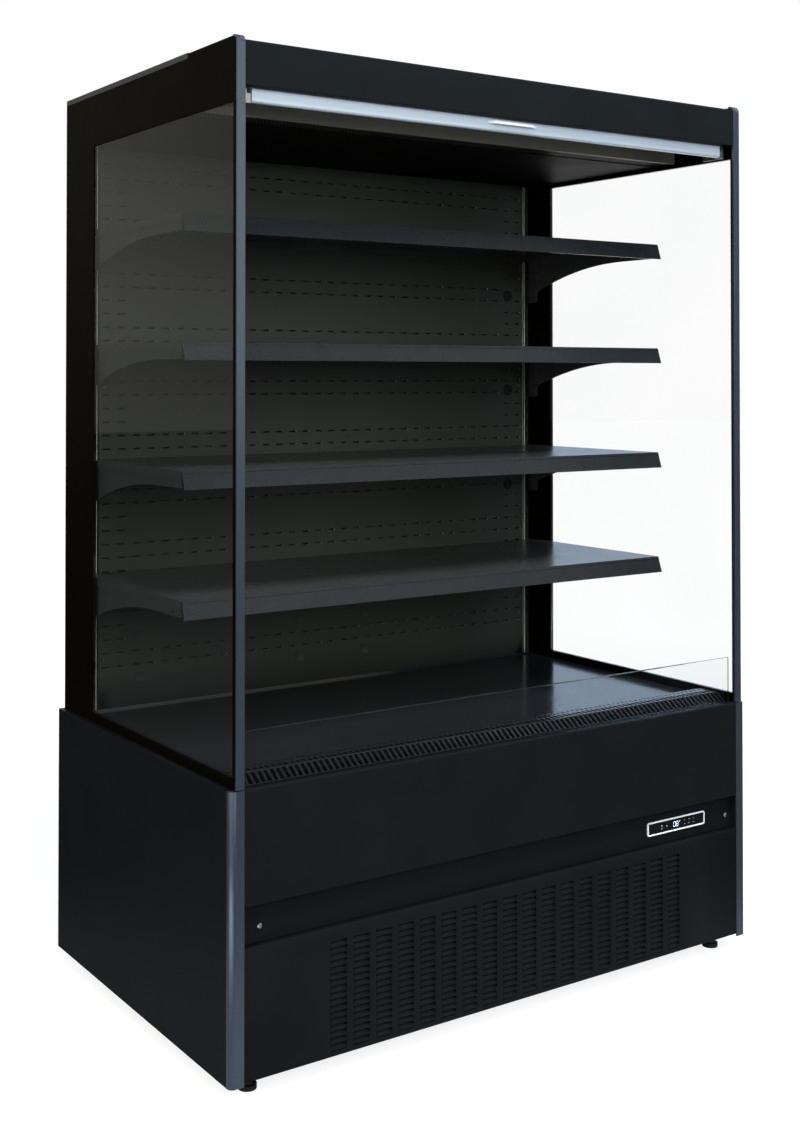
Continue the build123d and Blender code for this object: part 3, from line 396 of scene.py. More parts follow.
@dataclass(frozen=True)
class LitSegment(Finish):
    """A light-emitting segment behind the display window."""

    colour: str = "dfefff"
    strength: float = 1.0

    def surface(self, tree: Tree) -> Socket:
        """Build the glow, a little uneven across each segment.

        Args:
            tree: the material's node tree.

        Returns:
            The shader's output socket.
        """
        uneven = self.pattern(tree, 3, 1)
        links = {}
        for socket, edge in (("Base Color", "c9d8e6"), ("Emission Color", "c3d6ea")):
            shades = {MIX_FIRST: linear(edge), MIX_SECOND: linear(self.colour)}
            links[socket] = add_node(tree, "Mix", IN_COLOUR, shades, {"Factor": uneven}, MIX_COLOUR)
        values = {"Roughness": 0.4, "Emission Strength": self.strength}
        return add_node(tree, "BsdfPrincipled", values=values, links=links)


# Black polyester powder coat on folded steel: the fronts, sides and roof.
BODY_COAT = PowderCoat("powder_coat_satin_black", "black_paint", "0d0f10", "111315", 0.4, ior=1.15)
FASCIA_COAT = PowderCoat("powder_coat_canopy", "black_paint", "0c0f11", "101315", 0.4, ior=1.1)
SIDE_COAT = PowderCoat("powder_coat_side_black", "body_border", "040301", "060503", 0.44, ior=1.08)
# Near-white edges: partly the bare steel of punched and cut edges, partly a painted highlight where they
# catch the light.
CUT_EDGE_HIGHLIGHT = DrawnAluminium("bare_edge_painted_highlight", "zinc", "c4c5bf", "dedfd8", 0.45, 1.0, (1, 1, 1), 0.2)
ROOF_COAT = PowderCoat("powder_coat_roof_grey", "roof_paint", "26282b", "2e3033", 0.5)
# The same coat inside, in a smoother and glossier powder that wipes clean.
LINER_COAT = PowderCoat("powder_coat_liner", "liner_black", "2a2d2a", "323531", 0.4, 2.6, 0.1, 1.3)
# The air duct's strip over the opening, in a paler copy of the liner's paint: painted light on the strip and
# its bright lip.
DUCT_COAT_PAINTED_LIGHT = PowderCoat("powder_coat_duct_painted_light", "liner_black", "54544c", "5e5e55", 0.4, 2.6, 0.1, 1.3)
# The canopy's ceiling in a near-black copy of the liner's paint: painted shade under the canopy.
CEILING_COAT_PAINTED_SHADE = PowderCoat("powder_coat_ceiling_painted_shade", "liner_black", "0c0b08", "100f0b", 0.5, ior=1.1)
DECK_COAT = PowderCoat("powder_coat_deck", "deck_black", "121518", "171a1e", 0.16, 3.0, 0.04, 1.8)
# The shelves in a paler copy of the deck's black coat: painted light for what the bracket sides catch from
# the left.
SHELF_COAT_PAINTED_LIGHT = PowderCoat("powder_coat_shelf_painted_light", "deck_black", "292b2b", "303332", 0.26, 2.6, 0.08, 1.7)
# Anodised aluminium extrusions: blue-grey posts and front profiles, silver blind bar.
POST_METAL = DrawnAluminium(
    "anodised_aluminium_blue_grey", "post_anodised", "525d6a", "5f6a78", 0.24, metallic=0.85
)
BAR_METAL = DrawnAluminium(
    "anodised_aluminium_silver", "bar_silver", "c4d5e6", "cfdff0", 0.34, 1.2, (0.004, 1, 1), 0.65
)
TUBE_METAL = DrawnAluminium(
    "mill_finish_aluminium_tube", "blind_tube_alu", "9aa0a5", "b1b7bb", 0.4, 1.2, (0.004, 1, 1)
)
BEZEL_METAL = DrawnAluminium(
    "brushed_aluminium_bezel", "bezel_silver", "dfe5ea", "edf3f8", 0.4, 0.7, (0.01, 1, 1), 0.2
)
GALVANISED = BareMetal("galvanised_steel", "galvanised", "7c8287", "979da1", 0.42, 9.0)
ZINC = BareMetal("zinc_plated_screw", "zinc", "b9bec2", "d4d8db", 0.25, 2.0)
COPPER = BareMetal("copper_pipe", "copper", "a4603f", "bd7550", 0.3, 6.0)
FIN_METAL = BareMetal("aluminium_fins", "fin_aluminium", "5c6063", "6e7275", 0.5, 4.0)
MOTOR_METAL = BareMetal("pressed_steel_motor", "motor_steel", "55595d", "6a6e72", 0.45, 5.0)
# Plastics: extruded ticket strips, moulded fans and end caps, rubber pads.
TICKET_PLASTIC = Moulded("extruded_ticket_strip", "ticket_plastic", "181b1d", "1d2023", 0.26, 2.0, 0.1)
OUTLET_PLASTIC = Moulded("moulded_air_straightener", "outlet_black", "17181a", "1f2022", 0.3, 2.0, 0.1)
OUTLET_RIM = Moulded("polished_outlet_rim", "outlet_black", "17181a", "1f2022", 0.12, 2.0, 0.04)
FAN_PLASTIC = Moulded("moulded_fan", "fan_black", "121315", "18191b", 0.4, 2.0, 0.15)
HANDLE_METAL = DrawnAluminium(
    "anodised_handle", "handle_silver", "c9d3dc", "d5dfe8", 0.35, 1.2, (0.004, 1, 1), 0.4
)
RUBBER = Moulded("moulded_rubber", "rubber_black", "111214", "17181a", 0.62, 1.2, 0.3)
WINDOW_PLASTIC = Moulded("smoked_display_window", "display_black", "08090a", "0b0c0d", 0.12, 6.0, 0.02)
BOX_PLASTIC = Moulded("moulded_control_box", "box_grey", "4a4d50", "55585b", 0.5, 1.6, 0.2)
PANE_GLASS = FloatGlass("toughened_glass_side", "side_pane", "fbfdfc")
RISER_GLASS = FloatGlass("toughened_glass_riser", "riser_pane", "f6fbfb")
CLOTH = BlindCloth("woven_blind_cloth", "blind_cloth")
LIT = LitSegment("lit_display_segment", "display_black")
# The touch marks glow dimly by their own emission, at a quarter of the digits' strength.
MARK = LitSegment("dim_glowing_touch_mark", "display_black", "8d949b", 0.25)


# ---------------------------------------------------------------- pieces
def dress(finish: Finish, *nodes: str) -> None:
    """Give CAD nodes their finish.

    Args:
        finish: what they are made of.
        nodes: names of the frame's nodes.
    """
    for name in nodes:
        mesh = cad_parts[name].data
        mesh.materials.clear()
        mesh.materials.append(finish.material())


def ease_edges(width_mm: float, *nodes: str) -> None:
    """Round the sharp edges of CAD nodes a little, as coating or drawing leaves them.

    Args:
        width_mm: width of the rounding.
        nodes: names of the frame's nodes.
    """
    for name in nodes:
        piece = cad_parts[name]
        weld = piece.modifiers.new("Weld", "WELD")
        weld.merge_threshold = WELD_GAP
        bevel = piece.modifiers.new("Ease", "BEVEL")
        bevel.width = width_mm * MM
        bevel.segments = 2
        bevel.limit_method = "ANGLE"
        bevel.angle_limit = EASE_ANGLE
        bevel.harden_normals = False


def new_object(name: str, shape: Shape) -> bpy.types.Object:
    """Put a bmesh into the scene as a new object.

    Args:
        name: the object's name.
        shape: its mesh; it is freed.

    Returns:
        The new object.
    """
    mesh = bpy.data.meshes.new(name)
    shape.to_mesh(mesh)
    shape.free()
    made = bpy.data.objects.new(name, mesh)
    bpy.context.scene.collection.objects.link(made)
    return made


def make_piece(
    name: str,
    shape: Shape,
    finish: Finish,
    body: Body | None = Body.CABINET,
    replaces: Iterable[str] = (),
    smooth: bool = True,
    turn: bool = True,
) -> bpy.types.Object:
    """Turn a finished bmesh into a piece that rides on a body.

    Args:
        name: the piece's name.
        shape: its mesh, in the frame's metres; it is freed.
        finish: what it is made of.
        body: the body that carries it, or None for a piece that rides on no body.
        replaces: CAD nodes that it stands for.
        smooth: whether faces that meet gently are shaded as one.
        turn: whether its faces are turned outwards.

    Returns:
        The new object.
    """
    if turn:
        bmesh.ops.recalc_face_normals(shape, faces=shape.faces)
    piece = new_object(name, shape)
    if smooth:
        piece.data.shade_smooth()
        piece.data.set_sharp_from_angle(angle=SMOOTH_ANGLE)
    piece.data.materials.append(finish.material())
    if body:
        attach(piece, body.value)
    if replaces:
        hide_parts(*replaces)
    return piece


def thicken(piece: bpy.types.Object, gauge_mm: float, offset: float = -1, even: bool = True) -> None:
    """Give a sheet its thickness with a live modifier.

    Args:
        piece: the sheet.
        gauge_mm: its thickness.
        offset: -1 for all of it inwards from the modelled face, 0 for half on each side.
        even: whether the thickness is kept where the sheet is folded.
    """
    wall = piece.modifiers.new("Gauge", "SOLIDIFY")
    wall.thickness = gauge_mm * MM
    wall.offset = offset
    wall.use_even_offset = even


def verts_in(items: Iterable) -> list[Vert]:
    """Pick the vertices out of what a bmesh operator gives back."""
    return [item for item in items if isinstance(item, Vert)]


def round_off(shape: Shape, geom: Sequence, radius: float, segments: int, affect: str = "EDGES") -> None:
    """Bevel edges or corners to a round.

    Args:
        shape: the mesh.
        geom: its edges or corners.
        radius: the round's offset in metres.
        segments: its faces.
        affect: EDGES or VERTICES.
    """
    bmesh.ops.bevel(
        shape, geom=geom, offset=radius, segments=segments, profile=0.5, affect=affect, material=-1
    )


def add_box(shape: Shape, size: Sequence[float], place: Vector) -> list[Vert]:
    """Add a box to a mesh.

    Args:
        shape: the mesh.
        size: the box's size in metres.
        place: its middle.

    Returns:
        Its corners.
    """
    verts = bmesh.ops.create_cube(shape, size=1)["verts"]
    bmesh.ops.scale(shape, vec=size, verts=verts)
    bmesh.ops.translate(shape, vec=place, verts=verts)
    return verts


def upright_grid(columns: int, rows: int, pitch_x: float, pitch_z: float) -> Shape:
    """Return an upright sheet of equal cells about the origin, facing -Y.

    Args:
        columns: cells along X.
        rows: cells along Z.
        pitch_x: width of a cell in metres.
        pitch_z: height of a cell in metres.

    Returns:
        The sheet as a new bmesh.
    """
    shape = bmesh.new()
    bmesh.ops.create_grid(shape, x_segments=columns, y_segments=rows, size=0.5)
    bmesh.ops.scale(shape, vec=(columns * pitch_x, rows * pitch_z, 1), verts=shape.verts)
    bmesh.ops.rotate(shape, matrix=Matrix.Rotation(math.pi / 2, 3, "X"), verts=shape.verts)
    return shape


def turned(profile: Sequence[tuple[float, float]], place: Vector, axis: Vector, steps: int) -> Shape:
    """Turn a profile about an axis through a place.

    Args:
        profile: points as radius and height along the axis, in millimetres.
        place: a point of the axis, in metres.
        axis: its direction.
        steps: faces round the full turn.

    Returns:
        The turned form as a new bmesh.
    """
    shape = bmesh.new()
    turn = Vector((0, 0, 1)).rotation_difference(axis).to_matrix()
    verts = [shape.verts.new(turn @ Vector((r * MM, 0, h * MM))) for r, h in profile]
    edges = [shape.edges.new(pair) for pair in zip(verts, verts[1:])]
    bmesh.ops.spin(
        shape, geom=[*verts, *edges], cent=(0, 0, 0), axis=axis, angle=2 * math.pi, steps=steps,
        use_merge=True,
    )
    bmesh.ops.remove_doubles(shape, verts=shape.verts, dist=WELD_GAP)
    bmesh.ops.translate(shape, vec=place, verts=shape.verts)
    return shape


# ---------------------------------------------------------------- camera, floor and light
@dataclass
class Studio:
    """The camera at the photograph's place, a white floor and soft lamps."""

    camera_place: Triple = (-1.9758, -2.8428, 1.3451)
    yaw: float = 34.138
    pitch: float = 0.91
    focal_px: float = 1474.2
    centre_px: tuple[float, float] = (388.3, 352.6)
    picture_px: tuple[int, int] = (800, 1144)
    sensor_mm: float = 36.0
    floor_size: float = 60.0
    floor_glow: float = 0.8
    floor_reach: tuple[float, float] = (1.2, 5.0)  # where the floor begins to be, and is, white
    floor_colour: str = "989898"
    mirrored_near: str = "8c9094"  # what gloss shows of the floor at the object's foot
    mirrored_far: str = "3c3e40"  # and of the dim floor beyond the lamps
    mirrored_reach: tuple[float, float] = (0.65, 1.3)
    board_colour: str = "f0f4f8"  # a white board on the floor, which the corner post shows
    board_place: Triple = (-1.9, -1.1, 0.0)
    board_reach: tuple[float, float] = (0.5, 1.2)
    backdrop_way: Triple = (0.682, 0.731, 0.0)
    backdrop_edge: tuple[float, float] = (0.6, 0.88)  # cosines where it begins and is full
    backdrop_tint: str = "cfe4ff"
    studio_tint: str = "fbfaec"
    studio_dim: float = 0.03
    fill_level: float = 0.3
    # The bright things round the dim studio: a direction, the cosines where its light begins
    # and is full, and its level.
    patches: tuple[tuple[Triple, float, float, float], ...] = (
        ((-0.9, -0.43, 0.0), 0.45, 0.97, 0.9),  # panel beside the camera, in the corner post
        ((-0.4, 0.7, 0.59), 0.7, 0.88, 0.5),  # high wall that the left pane shows
        ((0.2, -0.98, 0.0), 0.8, 0.97, 1.0),  # panel in front, in the blind's bar
        ((0.79, -0.13, 0.6), 0.8, 0.95, 0.85),  # high lamp that the ticket strips show
    )
    # The soft boxes: name, place, what they face, size, power in watts and colour.
    soft_boxes: tuple[tuple[str, Triple, Triple, tuple[float, float], float, str], ...] = (
        ("key", (-1.8, -4.2, 2.6), (0, 0, 1.0), (2.6, 2.6), 160, "fffaf4"),
        ("fill", (2.8, -4.0, 2.2), (0, 0, 1.0), (2.4, 2.4), 110, "eaf2ff"),
        ("left", (-4.4, -1.0, 1.8), (0, 0, 1.0), (2.4, 2.4), 110, "fffdf8"),
        ("top", (0.2, -1.9, 4.3), (0, 0, 0.8), (3.0, 1.6), 300, "ffffff"),
        ("rear", (2.6, 3.2, 2.2), (0, 0, 0.9), (2.4, 2.4), 70, "e6f0ff"),
    )

    def build(self) -> None:
        """Make the camera, the floor, the world and the lamps."""
        self.camera()
        self.floor()
        self.world()
        self.lamps()

    def camera(self) -> None:
        """Set the camera where the photograph was taken from."""
        data = bpy.data.cameras.new("camera")
        wide, high = self.picture_px
        data.sensor_width = self.sensor_mm
        data.lens = self.focal_px / high * self.sensor_mm
        data.shift_x = (wide / 2 - self.centre_px[0]) / high
        data.shift_y = (self.centre_px[1] - high / 2) / high
        data.clip_end = 200
        camera = bpy.data.objects.new("camera", data)
        camera.location = self.camera_place
        camera.rotation_euler = (math.radians(90 + self.pitch), 0, -math.radians(self.yaw))
        bpy.context.scene.collection.objects.link(camera)
        bpy.context.scene.camera = camera

    def floor(self) -> None:
        """Lay the floor: white where the lamps reach, and it keeps the shadow."""
        shape = bmesh.new()
        bmesh.ops.create_grid(shape, x_segments=1, y_segments=1, size=self.floor_size / 2)
        floor = new_object("floor", shape)
        material = bpy.data.materials.new("white_floor")
        material.use_nodes = True
        tree = material.node_tree
        tree.nodes.clear()
        place = add_node(tree, "TexCoord", output="Object")
        reach = add_node(tree, "VectorMath", {"operation": "LENGTH"}, links={0: place}, output="Value")
        start, full = self.floor_reach
        values = {"From Min": start, "From Max": full, "To Min": self.floor_glow, "To Max": 1.0}
        far = add_node(tree, "MapRange", SOFTLY, values, {"Value": reach})
        # Glass shows the floor white behind the object, told by the floor's own places.
        outwards = add_node(tree, "VectorMath", {"operation": "NORMALIZE"}, links={0: place})
        shown = self.seen(tree, self.patch(tree, outwards, self.backdrop_way, *self.backdrop_edge, 1.0))
        glow = add_node(tree, "Math", {"operation": "MULTIPLY"}, links={0: shown, 1: far})
        shades = {MIX_FIRST: linear(self.mirrored_near), MIX_SECOND: linear(self.mirrored_far)}
        start, full = self.mirrored_reach
        beyond = add_node(
            tree, "MapRange", values={"From Min": start, "From Max": full}, links={"Value": reach}
        )
        mirrored = add_node(tree, "Mix", IN_COLOUR, shades, {"Factor": beyond}, MIX_COLOUR)
        away = add_node(
            tree, "VectorMath", {"operation": "DISTANCE"}, {1: self.board_place}, {0: place}, "Value"
        )
        start, full = self.board_reach
        board = add_node(
            tree, "MapRange", values={"From Min": start, "From Max": full}, links={"Value": away}
        )
        sources = {"Factor": board, MIX_SECOND: mirrored}
        lit = add_node(
            tree, "Mix", IN_COLOUR, {MIX_FIRST: linear(self.board_colour)}, sources, MIX_COLOUR
        )
        sources = {"Factor": add_node(tree, "LightPath", output="Is Glossy Ray"), MIX_SECOND: lit}
        shade = add_node(
            tree, "Mix", IN_COLOUR, {MIX_FIRST: linear(self.floor_colour)}, sources, MIX_COLOUR
        )
        values = {"Roughness": 0.9, "Specular IOR Level": 0.0, "Emission Color": WHITE}
        sources = {"Base Color": shade, "Emission Strength": glow}
        paint = add_node(tree, "BsdfPrincipled", values=values, links=sources)
        add_node(tree, "OutputMaterial", links={"Surface": paint})
        floor.data.materials.append(material)

    def patch(
        self, tree: Tree, way: Socket, middle: Triple, start: float, full: float, level: float,
        dim: float = 0.0,
    ) -> Socket:
        """Return a soft round patch of light round one direction.

        Args:
            tree: node tree that gets the nodes.
            way: the direction looked along.
            middle: the patch's middle.
            start: cosine where its light begins.
            full: cosine where its light is full.
            level: its full level.
            dim: the level away from it.

        Returns:
            The level along that direction.
        """
        sweep = add_node(tree, "VectorMath", {"operation": "DOT_PRODUCT"}, {1: middle}, {0: way}, "Value")
        values = {"From Min": start, "From Max": full, "To Min": dim, "To Max": level}
        return add_node(tree, "MapRange", SOFTLY, values, {"Value": sweep})

    def seen(self, tree: Tree, behind: Socket) -> Socket:
        """Return the white background's level for the ray: all of it straight from the camera.

        Args:
            tree: node tree that gets the nodes.
            behind: its level along the ray, which is what glass shows of it.

        Returns:
            The level, 0 for rays that only carry light.
        """
        through = add_node(tree, "LightPath", output="Is Transmission Ray")
        glass = add_node(tree, "Math", {"operation": "MULTIPLY"}, links={0: through, 1: behind})
        direct = add_node(tree, "LightPath", output="Is Camera Ray")
        return add_node(tree, "Math", {"operation": "MAXIMUM"}, links={0: direct, 1: glass})

    def world(self) -> None:
        """White behind the object; the studio in front of it is dim."""
        world = bpy.data.worlds.new("studio")
        bpy.context.scene.world = world
        world.use_nodes = True
        tree = world.node_tree
        tree.nodes.clear()
        ray = add_node(tree, "TexCoord", output="Generated")
        behind = self.patch(
            tree, ray, self.backdrop_way, *self.backdrop_edge, 1.0, self.studio_dim
        )
        mirrored = behind
        for values in self.patches:
            links = {0: mirrored, 1: self.patch(tree, ray, *values)}
            mirrored = add_node(tree, "Math", {"operation": "MAXIMUM"}, links=links)
        gloss = add_node(tree, "LightPath", output="Is Glossy Ray")
        lit = add_node(tree, "Mix", values={2: self.fill_level}, links={0: gloss, 3: mirrored})
        # Rays that show the backdrop, straight or through glass, get no more than it gives.
        direct = add_node(tree, "LightPath", output="Is Camera Ray")
        through = add_node(tree, "LightPath", output="Is Transmission Ray")
        shows = add_node(tree, "Math", {"operation": "MAXIMUM"}, links={0: direct, 1: through})
        rest = add_node(tree, "Math", {"operation": "SUBTRACT"}, {0: 1.0}, {1: shows})
        soft = add_node(tree, "Math", {"operation": "MULTIPLY"}, links={0: lit, 1: rest})
        links = {0: soft, 1: self.seen(tree, behind)}
        level = add_node(tree, "Math", {"operation": "ADD"}, links=links)
        depth = add_node(tree, "LightPath", output="Glossy Depth")
        bounced = add_node(tree, "Math", {"operation": "MINIMUM"}, {1: 1.0}, {0: depth})
        tints = {MIX_FIRST: linear(self.studio_tint), MIX_SECOND: linear(self.backdrop_tint)}
        cast = add_node(tree, "Mix", IN_COLOUR, tints, {"Factor": behind}, MIX_COLOUR)
        links = {"Factor": bounced, MIX_SECOND: cast}
        tint = add_node(tree, "Mix", IN_COLOUR, {MIX_FIRST: WHITE}, links, MIX_COLOUR)
        light = add_node(tree, "Background", links={"Color": tint, "Strength": level})
        add_node(tree, "OutputWorld", links={"Surface": light})

    def lamps(self) -> None:
        """Hang the soft boxes; gloss shows the world's patches in their stead."""
        for name, place, target, size, watts, colour in self.soft_boxes:
            data = bpy.data.lights.new(name, "AREA")
            data.shape = "RECTANGLE"
            data.size, data.size_y = size
            data.energy = watts
            data.color = linear(colour)[:3]
            lamp = bpy.data.objects.new(name, data)
            lamp.location = place
            lamp.visible_glossy = False
            lamp.visible_transmission = False
            lamp.rotation_euler = (Vector(target) - Vector(place)).to_track_quat("-Z", "Y").to_euler()
            bpy.context.scene.collection.objects.link(lamp)


@dataclass
class Casework:
    """The pieces whose CAD shape is already right, with their finishes and eased edges."""

    def build(self) -> None:
        """Dress every CAD node and ease the edges that show."""
        shelves = [f"shelf_{number}" for number in SHELVES]
        strips = [f"ticket_strip_{number}" for number in SHELVES]
        sides = ["base_side_left", "base_side_right"]
        frames = ["side_frame_left", "side_frame_right"]
        dress(BODY_COAT, "front_upper_panel", "louvre_panel", "controller_strip", "base_back_panel")
        dress(BODY_COAT, *sides)
        dress(FASCIA_COAT, "canopy_fascia")
        dress(SIDE_COAT, *frames)
        dress(ROOF_COAT, "insulated_roof", "insulated_back", "insulated_tub")
        dress(GALVANISED, "base_pan", "condenser_shroud", "fan_plate", "riser_channel")
        dress(POST_METAL, "corner_posts", "front_profiles")
        dress(LINER_COAT, "back_panel", "uprights")
        dress(CEILING_COAT_PAINTED_SHADE, "ceiling_panel")
        dress(DUCT_COAT_PAINTED_LIGHT, "air_duct_wall")
        dress(DECK_COAT, "deck_tray", "intake_grille")
        dress(SHELF_COAT_PAINTED_LIGHT, *shelves)
        dress(PANE_GLASS, "side_glass")
        dress(RISER_GLASS, "glass_riser")
        dress(TICKET_PLASTIC, *strips)
        dress(OUTLET_PLASTIC, "honeycomb_grille")
        dress(BEZEL_METAL, "controller_bezel")
        dress(WINDOW_PLASTIC, "controller_display")
        dress(ZINC, "panel_screws", "blind_brackets")
        dress(RUBBER, "foot_front_left", "foot_front_right", "foot_rear_left", "foot_rear_right")
        dress(RUBBER, "power_inlet")
        dress(FIN_METAL, "condenser", "evaporator")
        dress(FAN_PLASTIC, "condenser_fan", "evap_fan_left", "evap_fan_right")
        dress(MOTOR_METAL, "condenser_fan_motor", "evap_fan_motors", "compressor")
        dress(BOX_PLASTIC, "control_box", "evaporation_tray")
        dress(COPPER, "refrigerant_pipes")
        dress(HANDLE_METAL, "blind_handle")
        dress(TUBE_METAL, "blind_tube")
        dress(BAR_METAL, "blind_bar")
        dress(CLOTH, "blind_roll", "blind_drop")
        ease_edges(0.5, "front_upper_panel", "controller_strip", "canopy_fascia", "base_back_panel")
        ease_edges(0.5, "insulated_roof", "insulated_back", "corner_posts", "front_profiles")
        ease_edges(0.5, *sides, *frames)
        ease_edges(0.4, *shelves, "deck_tray", "air_duct_wall")
        ease_edges(0.3, *strips)
        ease_edges(0.8, "side_glass", "glass_riser", "blind_bar", "controller_bezel")


# ---------------------------------------------------------------- punched and folded sheet
@dataclass
class SheetMetal:
    """Folded sheet: what the louvre panel, grille and back panel have in common."""

    sheet_mm: float = 1.2
    inset_mm: float = 0.1  # first width of a cell's frame, before it takes its own size
    corner_share: float = 0.98  # of a slot's half height that its round ends take

    def inset_cells(self, shape: Shape, faces: Sequence[Face], wide: float, high: float) -> None:
        """Set a smaller rectangle into each four-sided face.

        Args:
            shape: the sheet.
            faces: the faces; each becomes its own inner rectangle.
            wide: the rectangle's size along X in metres.
            high: its size across that, in metres.
        """
        bmesh.ops.inset_individual(shape, faces=faces, thickness=self.inset_mm * MM)
        for face in faces:
            centre = face.calc_center_median()
            along_x = max(abs(v.co.x - centre.x) for v in face.verts)
            across = max((Vector((0, *v.co.yz)) - Vector((0, *centre.yz))).length for v in face.verts)
            for vert in face.verts:
                offset = vert.co - centre
                offset.x *= wide / 2 / along_x
                offset.yz = (offset.y * high / 2 / across, offset.z * high / 2 / across)
                vert.co = centre + offset

    def punch(self, shape: Shape, faces: Sequence[Face], wide: float, high: float) -> None:
        """Punch a slot with round ends through the middle of each four-sided face.

        Args:
            shape: the sheet.
            faces: the faces to punch.
            wide: the slot's size along X in metres.
            high: its size across that, in metres.
        """
        self.inset_cells(shape, faces, wide, high)
        for face in faces:
            face.material_index = CUT_OUT
        corners = list({vert for face in faces for vert in face.verts})
        round_off(shape, corners, min(wide, high) / 2 * self.corner_share, 3, "VERTICES")
        gone = [face for face in shape.faces if face.material_index == CUT_OUT]
        bmesh.ops.delete(shape, geom=gone, context="FACES_ONLY")

    def push_border(self, shape: Shape, axis: int, side: int, way: Triple) -> list[Edge]:
        """Carry one straight border of the sheet further.

        Args:
            shape: the sheet.
            axis: 0 for a border at an end along X, 1 along Y, 2 along Z.
            side: -1 for the low end and 1 for the high end.
            way: how far it is carried, in metres.

        Returns:
            The border's new edges.
        """
        reach = max(side * v.co[axis] for v in shape.verts)
        border = [
            edge
            for edge in shape.edges
            if edge.is_boundary and all(abs(side * v.co[axis] - reach) < WELD_GAP for v in edge.verts)
        ]
        made = bmesh.ops.extrude_edge_only(shape, edges=border)["geom"]
        bmesh.ops.translate(shape, vec=way, verts=verts_in(made))
        return [item for item in made if isinstance(item, Edge) and item.is_boundary]


@dataclass
class LouvrePanel(SheetMetal):
    """The base's front panel: rows of louvres whose upper edges are pressed inwards."""

    columns: int = 18
    rows: int = 17
    pitch_x: float = 52.8
    pitch_z: float = 12.3
    louvre_wide: float = 38.0
    louvre_high: float = 11.3
    press_depth: float = 6.8
    slit: float = 1.8  # the open cut under the lowest louvres
    slit_margin: float = 1.2
    field_drop: float = 6.5  # field's middle below the panel's middle
    bend: float = 2.0

    def build(self) -> None:
        """Make the panel round its field of louvres."""
        low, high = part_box("louvre_panel")
        middle_z = (low.z + high.z) / 2 - self.field_drop * MM
        shape = upright_grid(self.columns, self.rows, self.pitch_x * MM, self.pitch_z * MM)
        bmesh.ops.translate(shape, vec=(0, low.y, middle_z), verts=shape.verts)
        self.press(shape)
        side = high.x - self.columns * self.pitch_x * MM / 2
        for way in (-1, 1):
            self.push_border(shape, 0, way, (way * side, 0, 0))
        field_half = self.rows * self.pitch_z * MM / 2
        self.push_border(shape, 2, 1, (0, 0, high.z - middle_z - field_half))
        below = min(v.co.z for v in shape.verts)
        self.push_border(shape, 2, -1, (0, 0, low.z - below))
        for way in (-1, 1):
            self.push_border(shape, 2, way, (0, high.y - low.y, 0))
        self.round_folds(shape, low.y)
        piece = make_piece("louvre_front", shape, BODY_COAT, replaces=["louvre_panel"])
        thicken(piece, self.sheet_mm, even=False)

    def round_folds(self, shape: Shape, front: float) -> None:
        """Round the panel's top and bottom folds, which lie in its front plane.

        Args:
            shape: the panel.
            front: the front plane's Y in metres.
        """
        ends = [find(v.co.z for v in shape.verts) for find in (min, max)]
        folds = [
            edge
            for edge in shape.edges
            if all(abs(v.co.y - front) < WELD_GAP for v in edge.verts)
            and any(all(abs(v.co.z - end) < WELD_GAP for v in edge.verts) for end in ends)
        ]
        round_off(shape, folds, self.bend * MM, 3)

    def press(self, shape: Shape) -> None:
        """Cut each louvre free at its sides and upper edge, and bow it inwards to that edge.

        Args:
            shape: the panel, with one cell for each louvre.
        """
        tongues = list(shape.faces)
        high = self.louvre_high * MM
        self.inset_cells(shape, tongues, self.louvre_wide * MM, high)
        roots = {face: min(v.co.z for v in face.verts) for face in tongues}
        free = {
            edge
            for face in tongues
            for edge in face.edges
            if max(v.co.z for v in edge.verts) > roots[face] + high / 2
        }
        bmesh.ops.split_edges(shape, edges=list(free))
        sides = []
        for face in tongues:
            for edge in face.edges:
                if abs(edge.verts[0].co.z - edge.verts[1].co.z) > high / 2:
                    sides.append(edge)
            for vert in face.verts:
                if vert.co.z > roots[face] + high / 2:
                    vert.co.y += self.press_depth * MM
        made = bmesh.ops.subdivide_edges(shape, edges=sides, cuts=4, use_grid_fill=True)
        for vert in verts_in(made["geom_inner"]):
            root = max(z for z in roots.values() if z < vert.co.z)
            share = (vert.co.z - root) / high
            vert.co.y -= self.press_depth * MM * (share - share**2)
        self.open_slits(shape)

    def open_slits(self, shape: Shape) -> None:
        """Add a thin row below the louvres and cut the open slits through it.

        Args:
            shape: the panel.
        """
        strip = (self.slit + self.slit_margin) * MM
        edges = self.push_border(shape, 2, -1, (0, 0, -strip))
        cells = [face for edge in edges for face in edge.link_faces if len(face.verts) == 4]
        self.inset_cells(shape, cells, self.louvre_wide * MM, self.slit * MM)
        bmesh.ops.delete(shape, geom=cells, context="FACES_ONLY")


